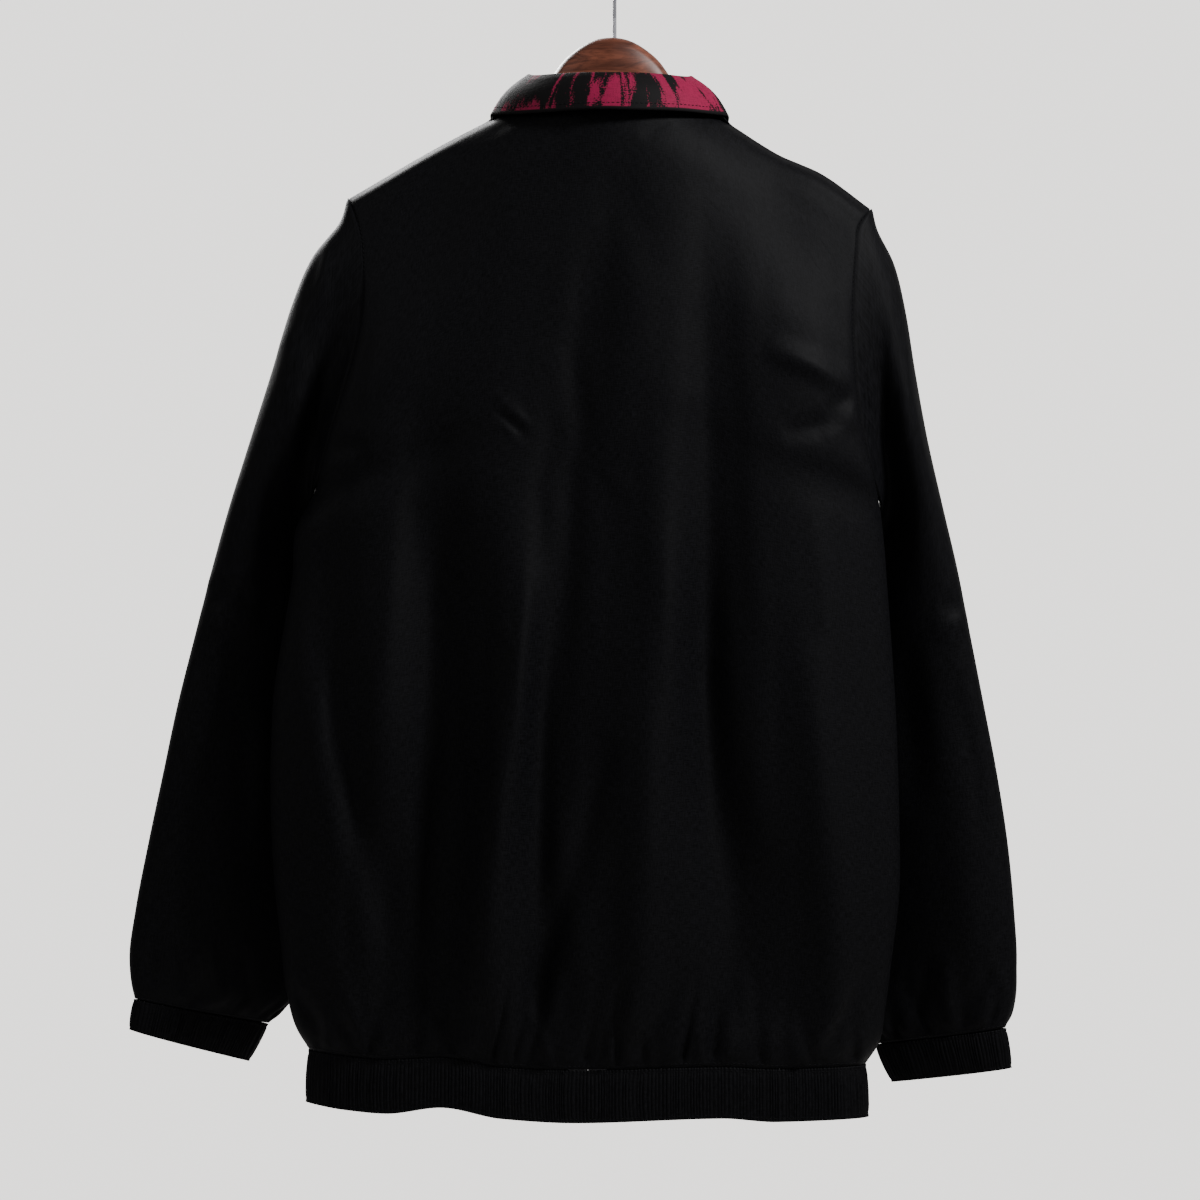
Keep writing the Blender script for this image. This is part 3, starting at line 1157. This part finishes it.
def trim_material(name, colour, roughness, threads=0.0, metallic=0.0):
    """Zip tape, thread and small metal: faint texture on Object coordinates."""
    found = bpy.data.materials.get(name)
    if found:
        return found
    made, tree, shader = plain(name, colour, roughness, metallic)
    if not metallic:
        shader.inputs["Specular IOR Level"].default_value = 0.01
    place = node(tree, "ShaderNodeTexCoord")
    if threads:
        woven = use_group(tree, "Woven threads", woven_group,
                          [("Vector", place.outputs["Object"])], Threads=threads)
        height = woven.outputs["Height"]
    else:
        height = node(tree, "ShaderNodeTexNoise", [("Vector", place.outputs["Object"])],
                      Scale=600.0, Detail=3.0).outputs["Fac"]
        worn = node(tree, "ShaderNodeMapRange", [("Value", height)])
        worn.inputs["To Min"].default_value = roughness * 0.75
        worn.inputs["To Max"].default_value = min(1.0, roughness * 1.25)
        tree.links.new(worn.outputs[0], shader.inputs["Roughness"])
    bumped(tree, shader, [(height, 0.25, 0.0003)])
    return made


def wood_material(settings):
    made, tree, shader = plain("Dark stained wood", settings.wood_light, 0.42)
    shader.inputs["Specular IOR Level"].default_value = 0.03
    place = node(tree, "ShaderNodeTexCoord")
    grain = use_group(tree, "Wood grain", grain_group, [("Vector", place.outputs["Object"])])
    mask = node(tree, "ShaderNodeMapRange", [("Value", grain.outputs["Rings"])])
    mask.inputs["From Min"].default_value = 0.34
    mask.inputs["From Max"].default_value = 0.64
    pores = node(tree, "ShaderNodeMapRange", [("Value", grain.outputs["Pores"])])
    pores.inputs["From Min"].default_value = 0.30
    pores.inputs["From Max"].default_value = 0.46
    pores.inputs["To Min"].default_value = 0.45
    both = maths(tree, "MULTIPLY", mask.outputs[0], pores.outputs[0])
    tree.links.new(shaded(tree, both, settings.wood_dark, settings.wood_light),
                   shader.inputs["Base Color"])
    bumped(tree, shader, [(grain.outputs["Pores"], 0.12, 0.0003)])
    return made


def wire_material(settings):
    made, tree, shader = plain("Dark wire", settings.wire, 0.32, 0.85)
    place = node(tree, "ShaderNodeTexCoord")
    drawn = node(tree, "ShaderNodeTexNoise", [("Vector", place.outputs["Object"])],
                 Scale=900.0, Detail=2.0)
    bumped(tree, shader, [(drawn.outputs["Fac"], 0.12, 0.0002)])
    return made


# ---- the garment's pieces ----
def settings(name):
    return getattr(bpy.context.scene, "windbreaker_" + name)


def shell(name="Black shell cloth"):
    return shell_material(name, settings("cloth"), 0.30)


def thread():
    return trim_material("Black sewing thread", (0.0007, 0.0007, 0.0008), 0.80)


def dressed(made, slot, *nodes):
    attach(made, JACKET)
    if nodes:
        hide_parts(*nodes)
    return made


def panel_rows(side, hand=0):
    """Rows of the back (side 1) or of one front (side -1), as on the solid."""
    if side > 0:
        xis = COLUMNS + [-xi for xi in reversed(COLUMNS[:-1])]
    else:
        xis = [hand * max(xi, MIDDLE) for xi in COLUMNS]
    return [[body_point(xi, drop, side) for xi in xis] for drop in DROPS]


def panel_grid(side, hand, strokes, pleats):
    """Fine grid of a body panel with its creases, and the hem's pleats let in above the seam."""
    grid = finer(panel_rows(side, hand), ACROSS, DOWN)
    x = grid[:, :, 0]
    z = grid[:, :, 2]
    up = run_lengths(grid, 0)
    up = up[-1] - up
    in_from_side = run_lengths(grid, 1)
    if side > 0:
        in_from_side = np.minimum(in_from_side, in_from_side[:, -1:] - in_from_side)
    height = strokes_at(x, z, strokes) * ease_all(in_from_side / STROKE_FADE)
    height += pleats_at(x, up, pleats) * ease_all(in_from_side / PLEAT_FADE)
    height *= ease_all(up / SEAM_FADE) * ease_all(run_lengths(grid, 0) / TOP_FADE)
    if side < 0:
        from_zip = np.abs(x - grid[:, -1:, 0])
        height *= ease_all(from_zip / ZIP_FADE)
    grid[:, :, 1] += side * height
    return grid


def edge_paths(grid, side, columns, rows, inset):
    """Stitch lines just off a panel's surface, beside its armholes and above its hem."""
    outs = normals_of(grid)
    if (outs[:, :, 1].mean() > 0) != (side > 0):
        outs = -outs
    surface = grid + outs * (CLOTH / 2 + STITCH_LIFT)
    paths = []
    for column in columns:
        paths.append((surface[inset:rows, column], outs[inset:rows, column]))
    return paths, surface, outs


def hem_path(surface, outs, row):
    return surface[row, 2:-2], outs[row, 2:-2]


def make_body():
    strokes = {"back_panel": (1, 0, STROKES_BACK, HEM_PLEATS_BACK),
               "front_left": (-1, 1, STROKES_FRONT, HEM_PLEATS_FRONT),
               "front_right": (-1, -1, STROKES_FRONT, HEM_PLEATS_FRONT)}
    armhole_rows = UNDERARM_ROW * DOWN
    for name, (side, hand, table, pleats) in strokes.items():
        grid = panel_grid(side, hand, table, pleats)
        made = dressed(cloth("cloth_" + name, grid, shell(), CLOTH), "cloth", name)
        columns = [3, grid.shape[1] - 4] if side > 0 else [3]
        paths, surface, outs = edge_paths(grid, side, columns, armhole_rows, 8)
        paths.append(hem_path(surface, outs, -2))
        if side < 0:
            for column in (-2, -6):
                paths.append((surface[14:-2, column], outs[14:-2, column]))
        dressed(stitches("stitching_" + name, paths, thread()), "cloth")


def sleeve_rows(hand, table, creases):
    angles = ring_angles()
    rows = [armhole_ring(hand)]
    for index, ring in enumerate(table, start=1):
        fade = ease((len(table) - index) / 3)
        bend = BEND * bell((index - BEND_RING) / BEND_RINGS)
        points = [ring_point(ring, angle, fade * crease_height(creases, index, angle), bend)
                  for angle in angles]
        rows.append([clear_of_front(point, hand) for point in points])
    return rows


def tucked(grid, hand):
    """The sleeve with its edge carried on a little way under the armhole's."""
    edge = grid[0]
    middle = edge.mean(axis=0)
    rows = []
    for share in (1.0, 0.5):
        row = edge + (middle - edge) * TUCK_NARROWS * share
        row[:, 0] = edge[:, 0] - hand * TUCK * share
        rows.append(row)
    return np.concatenate([np.array(rows), grid])


def make_sleeves():
    for name, hand, table, creases, strokes in (
            ("sleeve_left", 1, RINGS_LEFT, CREASES_LEFT, STROKES_SLEEVE_LEFT),
            ("sleeve_right", -1, RINGS_RIGHT, CREASES_RIGHT, STROKES_SLEEVE_RIGHT)):
        grid = finer(sleeve_rows(hand, table, creases), SLEEVE_ROUND, SLEEVE_DOWN, wrap=True)
        grid = tucked(grid, hand)
        outs = normals_of(grid, True)
        middle = grid.mean(axis=1, keepdims=True)
        if ((grid - middle) * outs).sum() < 0:
            outs = -outs
        x = grid[:, :, 0]
        z = grid[:, :, 2]
        down = run_lengths(grid, 0)
        up = down[-1] - down
        round_it = np.repeat(run_lengths(grid, 1)[-1:], grid.shape[0], axis=0)
        facing = np.clip(outs[:, :, 1] * 1.6, 0.0, 1.0)
        height = strokes_at(x, z, strokes) * facing
        height += pleats_at(round_it, up, CUFF_PLEATS[hand])
        height += pleats_at(round_it, down, CAP_PLEATS, 0.006)
        beside_body = ease_all((np.abs(x) - 0.2) / 0.02 + (grid[:, :, 1] < -0.045))
        height *= ease_all(up / 0.005) * ease_all(down / 0.008) * np.maximum(beside_body, 0.25)
        grid += outs * height[:, :, None]
        made = cloth("cloth_" + name, grid, shell(), CLOTH, wrap=True)
        dressed(made, "cloth", name)
        ring = np.concatenate([grid, grid[:, :1]], axis=1)
        ring_outs = np.concatenate([outs, outs[:, :1]], axis=1)
        surface = ring + ring_outs * (CLOTH / 2 + STITCH_LIFT)
        dressed(stitches("stitching_" + name, [(surface[-2], ring_outs[-2])], thread()),
                "cloth")


def band_grid(top, edge, outs, closed, pitch, height, seed, puff):
    """Gathered band between two rings: folds of uneven width that drift as they go down."""
    random = np.random.default_rng(seed)
    runs = run_lengths(top[None], 1)[0]
    steps = int(runs[-1] / pitch)
    widths = random.uniform(0.65, 1.45, steps)
    marks = np.concatenate([[0.0], np.cumsum(widths)]) / widths.sum() * runs[-1]
    phase = np.interp(runs, marks, np.arange(steps + 1))
    tall = np.interp(phase, np.arange(steps + 1), random.uniform(0.45, 1.0, steps + 1))
    drift = np.interp(runs, np.linspace(0, runs[-1], 40), random.uniform(-0.5, 0.5, 40))
    drift -= np.interp(runs, [0, runs[-1]], [drift[0], drift[-1]])
    rows = []
    for share in BAND_SHARES:
        turn = phase + drift * share * (1 - share) * 4
        ridge = 1 - np.abs(np.cos(np.pi * turn)) ** 1.5
        channel = 1 - 0.55 * sum(math.exp(-((share - line) / 0.035) ** 2)
                                 for line in BAND_LINES)
        out = height * (ridge * tall * channel - 0.35) + puff * math.sin(math.pi * share) * channel
        row = top + (edge - top) * share + outs * out[:, None]
        rows.append(row)
    grid = np.array(rows)
    if closed:
        grid = grid[:, :-1]
    return grid


def dense_ring(points, closed, count):
    """Points and level outward normals at even distances along a ring."""
    ring = np.array([list(point) for point in points])
    if closed:
        ring = np.concatenate([ring, ring[:1]])
    runs = run_lengths(ring[None], 1)[0]
    places = np.linspace(0, runs[-1], count)
    return np.stack([np.interp(places, runs, ring[:, k]) for k in range(3)], axis=1)


def make_hem_band():
    values = settings("cloth")
    level = dense_ring([point for point, _ in hem_outline()], False, HEM_COLUMNS)
    outs = np.array([list(out) for out in outward_of([Vector(p) for p in level], False)])
    back = level[:, 1] >= HEM_Y
    top = level.copy()
    edge = level + outs * 0.002
    for i, point in enumerate(level):
        side = 1 if back[i] else -1
        top[i, 2] = HEM_SEAM_Z[side](point[0]) - HEM_SEAM
        edge[i, 2] = HEM_EDGE_Z[side](edge[i, 0])
    grid = band_grid(top, edge, outs, False, values.gather_pitch, values.gather_height, 21,
                     0.0009)
    material = shell_material("Gathered band cloth", values, 0.12)
    made = dressed(cloth("cloth_hem_band", grid, material, CLOTH), "band", "hem_band")
    surface = grid + outs[None] * (CLOTH / 2 + STITCH_LIFT)
    paths = [(surface[row], outs) for row in BAND_LINE_ROWS]
    dressed(stitches("stitching_hem_band", paths, thread()), "band")


def make_cuffs():
    values = settings("cloth")
    material = shell_material("Gathered band cloth", values, 0.12)
    for name, top_ring, edge_ring, seed in (
            ("cuff_left", CUFF_LEFT_TOP, CUFF_LEFT_EDGE, 22),
            ("cuff_right", CUFF_RIGHT_TOP, CUFF_RIGHT_EDGE, 23)):
        axis = Vector((edge_ring.outer_x + edge_ring.inner_x - top_ring.outer_x
                       - top_ring.inner_x, 0, edge_ring.outer_z + edge_ring.inner_z
                       - top_ring.outer_z - top_ring.inner_z)).normalized()
        angles = [2 * math.pi * i / 120 for i in range(120)]
        top = dense_ring([ring_point(top_ring, a) + axis * CUFF_SEAM for a in angles], True,
                         CUFF_COLUMNS + 1)
        edge = dense_ring([ring_point(edge_ring, a) for a in angles], True, CUFF_COLUMNS + 1)
        outs = np.array([list(out) for out in outward_of([Vector(p) for p in top[:-1]], True)])
        outs = np.concatenate([outs, outs[:1]])
        grid = band_grid(top, edge, outs, True, values.gather_pitch, values.gather_height,
                         seed, 0.0008)
        made = cloth("cloth_" + name, grid, material, CLOTH, wrap=True)
        dressed(made, "band", name)
        closed = np.concatenate([grid, grid[:, :1]], axis=1)
        surface = closed + outs[None] * (CLOTH / 2 + STITCH_LIFT)
        paths = [(surface[row], outs) for row in BAND_LINE_ROWS]
        dressed(stitches("stitching_" + name, paths, thread()), "band")


def collar_rows():
    seam = neck_seam()
    read = {name: column(COLLAR, "along", name) for name in CollarStation._fields[1:]}
    outward = outward_of([point for point, _ in seam], False)
    surface = laid_surface()
    rows = []
    for i, ((point, along), out) in enumerate(zip(seam, outward)):
        hand = 1 if i < len(seam) // 2 else -1
        middle = Vector((middle_x(0.0), NECK_Y, point.z))
        top = middle.lerp(point, read["width"](along)) + Vector((0, 0, read["rise"](along)))
        edge = laid_on(surface, collar_edge(point, out, along, hand, read["edge_out"](along),
                                            read["edge_z"](along)))
        base = point + Vector((0, 0, EDGE_GAP))
        crest = top + out * FOLD_RADIUS * 0.5 + Vector((0, 0, FOLD_RADIUS * 0.6))
        start = top + out * FOLD_RADIUS * 1.6
        row = [base, base.lerp(top, 0.5), top, crest, start]
        for share in FALL_SHARES:
            swell = COLLAR_SWELL * math.sin(math.pi * share)
            place = start.lerp(edge, share) + out * swell + Vector((0, 0, swell))
            row.append(laid_on(surface, place))
        rows.append(row)
    return rows


def make_collar():
    grid = finer(collar_rows(), 4, 5)
    ripple = np.sin(grid[:, :, 0] * 61.0 + 1.3) * np.sin(grid[:, :, 0] * 23.0)
    fall = np.linspace(-1.2, 1, grid.shape[1])[None]
    grid[:, :, 2] += ripple * np.clip(fall, 0, 1) * 0.0006
    made = cloth("cloth_collar", grid, collar_material(settings("print"), settings("cloth")),
                 COLLAR_WALL)
    dressed(made, "collar_print", "collar")
    outs = normals_of(grid)
    if (outs[:, -3] * (grid[:, -3] - grid[:, 2])).sum() < 0:
        outs = -outs
    surface = grid + outs * (COLLAR_WALL / 2 + STITCH_LIFT)
    column_in = -4
    dressed(stitches("stitching_collar", [(surface[2:-2, column_in], outs[2:-2, column_in])],
                     thread()), "collar_print")


def make_zip():
    """Coil teeth along the zip's line, with the tapes, slider and tab in their finishes."""
    line = [body_point(MIDDLE, drop, -1) for drop in DROPS]
    for point, drop in zip(line, DROPS):
        point.x = ZIP_X(drop)
    low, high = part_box("zip_chain")
    behind = CLOTH / 2 + SEAM_HALF - CHAIN_WALL / 2
    hem = line[-1].copy()
    hem.z = low[2]
    line.append(hem)
    points = np.array([list(point) for point in line])
    runs = run_lengths(points[None], 1)[0]
    mesh = bmesh.new()
    count = int(runs[-1] / TOOTH_PITCH)
    for i in range(count):
        place = runs[-1] * i / count
        x, y, z = (float(np.interp(place, runs, points[:, k])) for k in range(3))
        if z > high[2] - 0.0006 or z < low[2] + 0.0006:
            continue
        hand = 1 if i % 2 else -1
        made = bmesh.ops.create_cube(mesh, size=1.0)["verts"]
        for vertex in made:
            taper = 0.62 if vertex.co.x * hand < 0 else 1.0
            vertex.co = Vector((x + hand * 0.0010 + vertex.co.x * 0.0028,
                                y + behind + vertex.co.y * CHAIN_WALL * taper,
                                z + vertex.co.z * TOOTH_PITCH * 1.15 * taper))
    data = bpy.data.meshes.new("zip_teeth")
    mesh.to_mesh(data)
    mesh.free()
    teeth = new_object("zip_teeth", data, trim_material("Coil zip teeth", (0.010, 0.010, 0.011),
                                                        0.35))
    dressed(teeth, "zip", "zip_chain")
    tape = trim_material("Woven zip tape", (0.005, 0.005, 0.0055), 0.75, threads=1300.0)
    metal = trim_material("Black enamelled metal", (0.018, 0.018, 0.020), 0.32, metallic=0.6)
    for name in ("zip_tape_left", "zip_tape_right"):
        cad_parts[name].data.materials[0] = tape
    for name in ("zip_slider", "zip_pull_tab"):
        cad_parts[name].data.materials[0] = metal


def make_hanger():
    sections = []
    for hand in (1, -1):
        half = []
        for station in HUMP:
            x = HUMP_X + hand * station.reach
            half.append(wood_section(x, station.top, station.bottom, station.half_depth,
                                     arm_y(x)))
        for reach in ARM_REACHES:
            x = HUMP_X + hand * reach
            share = (reach - HUMP_EDGE) / (WOOD_END - HUMP_EDGE)
            top = SHOULDER_Z(x) - CLOTH / 2 - WOOD_CLEAR
            height = ARM_HEIGHT[0] + (ARM_HEIGHT[1] - ARM_HEIGHT[0]) * share
            depth = ARM_DEPTH[0] + (ARM_DEPTH[1] - ARM_DEPTH[0]) * share
            if reach == WOOD_END:
                top -= ARM_TIP[0]
                height -= ARM_TIP[1]
                depth -= ARM_TIP[2]
            half.append(wood_section(x, top, top - height, depth, arm_y(x)))
        sections.append(half)
    rows = list(reversed(sections[1])) + sections[0][1:]
    grid = finer(rows, 3, 4, wrap=True)
    toward_ridge = np.clip(1 - np.abs(grid[:, :, 0] - HUMP_X) / RIDGE_REACH, 0, 1)
    back = np.clip((grid[:, :, 1] - arm_y(HUMP_X)) / HUMP[0].half_depth, -1, 1)
    grid[:, :, 1] += RIDGE_HEIGHT * toward_ridge * back
    mesh = sheet_mesh("wooden_hanger", grid, True)
    made = new_object("wooden_hanger", mesh, wood_material(settings("hanger")))
    select_only(made)
    bpy.ops.object.mode_set(mode="EDIT")
    bpy.ops.mesh.select_all(action="DESELECT")
    bpy.ops.mesh.select_mode(type="VERT")
    bpy.ops.mesh.select_non_manifold(extend=False, use_boundary=True, use_wire=False,
                                     use_multi_face=False, use_non_contiguous=False,
                                     use_verts=False)
    bpy.ops.mesh.edge_face_add()
    bpy.ops.mesh.select_all(action="SELECT")
    bpy.ops.mesh.normals_make_consistent(inside=False)
    bpy.ops.object.mode_set(mode="OBJECT")
    bpy.ops.object.shade_smooth_by_angle(angle=math.radians(40))
    dressed(made, "wood", "hanger_wood")
    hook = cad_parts["hanger_hook"]
    hook.data.materials[0] = wire_material(settings("hanger"))


# ---- the stage ----
def make_stage():
    values = settings("stage")
    bpy.ops.object.select_all(action="DESELECT")
    bpy.ops.mesh.primitive_plane_add(size=1.0, location=(0, 0, 0))
    floor = bpy.context.active_object
    floor.name = "floor"
    for vertex, (x, y) in zip(floor.data.vertices, FLOOR_CORNERS):
        vertex.co = (x, y, values.floor_z)
    finish, _, _ = plain("Pale floor", values.backdrop, 0.9)
    floor.data.materials.append(finish)
    world = bpy.data.worlds.new("Soft studio")
    bpy.context.scene.world = world
    world.use_nodes = True
    sky = world.node_tree.nodes["Background"]
    sky.inputs["Color"].default_value = (*values.backdrop, 1)
    sky.inputs["Strength"].default_value = values.ambient
    for name, place, power, size in (
            ("key", KEY_PLACE, values.key_power, 0.32),
            ("fill", FILL_PLACE, values.fill_power, 0.8),
            ("front", FRONT_PLACE, values.front_power, 1.0)):
        light = bpy.data.lights.new(name, "AREA")
        light.energy = power
        light.size = size
        lamp = bpy.data.objects.new(name, light)
        bpy.context.scene.collection.objects.link(lamp)
        lamp.location = place
        toward = Vector(LIT_PLACE) - Vector(place)
        lamp.rotation_euler = toward.to_track_quat("-Z", "Y").to_euler()
    camera = bpy.data.cameras.new("camera")
    camera.lens = values.lens
    camera.sensor_width = SENSOR
    eye = bpy.data.objects.new("camera", camera)
    bpy.context.scene.collection.objects.link(eye)
    eye.location = (VIEW_X, VIEW_PLANE_Y + VIEW_WIDTH * values.lens / SENSOR, VIEW_Z)
    eye.rotation_euler = (math.radians(90), 0, math.radians(180))
    bpy.context.scene.camera = eye


# ---- the add-on ----
def colour(title, text, value):
    return FloatVectorProperty(name=title, description=text, subtype="COLOR", size=3,
                               min=0.0, max=1.0, default=value)


class ClothSettings(bpy.types.PropertyGroup):
    shell_colour: colour("Shell colour", "Colour of the shell cloth", (0.00032, 0.00032, 0.00039))
    shell_roughness: FloatProperty(name="Shell roughness", default=0.60, min=0.0, max=1.0,
                                   description="How matt the shell cloth is")
    threads: FloatProperty(name="Threads", description="Scale of the weave", default=1500.0)
    gather_pitch: FloatProperty(name="Gather pitch", unit="LENGTH", default=0.0025,
                                description="Distance between gathers in the bands")
    gather_height: FloatProperty(name="Gather height", unit="LENGTH", default=0.0011,
                                 description="How far a gather stands out")


class PrintSettings(bpy.types.PropertyGroup):
    ground: colour("Ground", "Black of the collar", (0.00045, 0.0004, 0.00045))
    streaks: colour("Streaks", "Crimson of the collar's streaks", (0.025, 0.0010, 0.0050))
    coverage: FloatProperty(name="Coverage", description="How much the streaks cover",
                            default=0.50, min=0.0, max=1.0)
    edge_from: FloatProperty(name="Plain edge from", unit="LENGTH", default=0.0545,
                             description="Where the collar's plain edge starts")


class HangerSettings(bpy.types.PropertyGroup):
    wood_light: colour("Light wood", "Lighter wood of the hanger", (0.019, 0.0058, 0.0032))
    wood_dark: colour("Dark wood", "Darker grain of the hanger", (0.0055, 0.0016, 0.0009))
    wire: colour("Wire", "Dark wire of the hook", (0.030, 0.030, 0.033))


class StageSettings(bpy.types.PropertyGroup):
    backdrop: colour("Backdrop", "Pale floor and background", (0.715, 0.700, 0.680))
    floor_z: FloatProperty(name="Floor", unit="LENGTH", default=-1.30,
                           description="Height of the floor")
    ambient: FloatProperty(name="Ambient", description="Strength of the soft light",
                           default=2.75, min=0.0)
    key_power: FloatProperty(name="Key light", description="Power of the main light",
                             default=420.0, min=0.0)
    front_power: FloatProperty(name="Front light", description="Power of the light in front",
                               default=300.0, min=0.0)
    fill_power: FloatProperty(name="Fill light", description="Power of the other lights",
                              default=60.0, min=0.0)
    lens: FloatProperty(name="Lens", description="Focal length in mm", default=150.0, min=1.0)


class WINDBREAKER_OT_body(bpy.types.Operator):
    """Lay the cloth of the back and the two fronts"""
    bl_idname = "windbreaker.body"
    bl_label = "Back and fronts"

    def execute(self, context):
        make_body()
        return {"FINISHED"}


class WINDBREAKER_OT_sleeves(bpy.types.Operator):
    """Lay the cloth of the sleeves"""
    bl_idname = "windbreaker.sleeves"
    bl_label = "Sleeves"

    def execute(self, context):
        make_sleeves()
        return {"FINISHED"}


class WINDBREAKER_OT_bands(bpy.types.Operator):
    """Gather the hem band and the cuffs"""
    bl_idname = "windbreaker.bands"
    bl_label = "Hem band and cuffs"

    def execute(self, context):
        make_hem_band()
        make_cuffs()
        return {"FINISHED"}


class WINDBREAKER_OT_collar(bpy.types.Operator):
    """Fold the printed collar"""
    bl_idname = "windbreaker.collar"
    bl_label = "Collar"

    def execute(self, context):
        make_collar()
        return {"FINISHED"}


class WINDBREAKER_OT_zip(bpy.types.Operator):
    """Set the zip's teeth and finishes"""
    bl_idname = "windbreaker.zip"
    bl_label = "Zip"

    def execute(self, context):
        make_zip()
        return {"FINISHED"}


class WINDBREAKER_OT_hanger(bpy.types.Operator):
    """Shape the wooden hanger and finish its hook"""
    bl_idname = "windbreaker.hanger"
    bl_label = "Hanger"

    def execute(self, context):
        make_hanger()
        return {"FINISHED"}


class WINDBREAKER_OT_stage(bpy.types.Operator):
    """Set the floor, the lights and the camera"""
    bl_idname = "windbreaker.stage"
    bl_label = "Stage"

    def execute(self, context):
        make_stage()
        return {"FINISHED"}


class WINDBREAKER_PT_panel(bpy.types.Panel):
    """Steps and settings of the windbreaker"""
    bl_idname = "WINDBREAKER_PT_panel"
    bl_label = "Windbreaker"
    bl_space_type = "VIEW_3D"
    bl_region_type = "UI"
    bl_category = "Windbreaker"

    def draw(self, context):
        for name in STEPS:
            self.layout.operator("windbreaker." + name)
        for name, group_type in GROUPS.items():
            values = getattr(context.scene, "windbreaker_" + name)
            box = self.layout.box()
            for key in group_type.__annotations__:
                box.prop(values, key)


STEPS = ("stage", "body", "sleeves", "bands", "collar", "zip", "hanger")
GROUPS = {"cloth": ClothSettings, "print": PrintSettings, "hanger": HangerSettings,
          "stage": StageSettings}
OPERATORS = (WINDBREAKER_OT_stage, WINDBREAKER_OT_body, WINDBREAKER_OT_sleeves,
             WINDBREAKER_OT_bands, WINDBREAKER_OT_collar, WINDBREAKER_OT_zip,
             WINDBREAKER_OT_hanger, WINDBREAKER_PT_panel)


def register():
    for name, group_type in GROUPS.items():
        bpy.utils.register_class(group_type)
        setattr(bpy.types.Scene, "windbreaker_" + name, PointerProperty(type=group_type))
    for operator in OPERATORS:
        bpy.utils.register_class(operator)


def unregister():
    for operator in reversed(OPERATORS):
        bpy.utils.unregister_class(operator)
    for name, group_type in GROUPS.items():
        delattr(bpy.types.Scene, "windbreaker_" + name)
        bpy.utils.unregister_class(group_type)


def main():
    register()
    for name in STEPS:
        getattr(bpy.ops.windbreaker, name)()


if __name__ == "__main__":
    main()
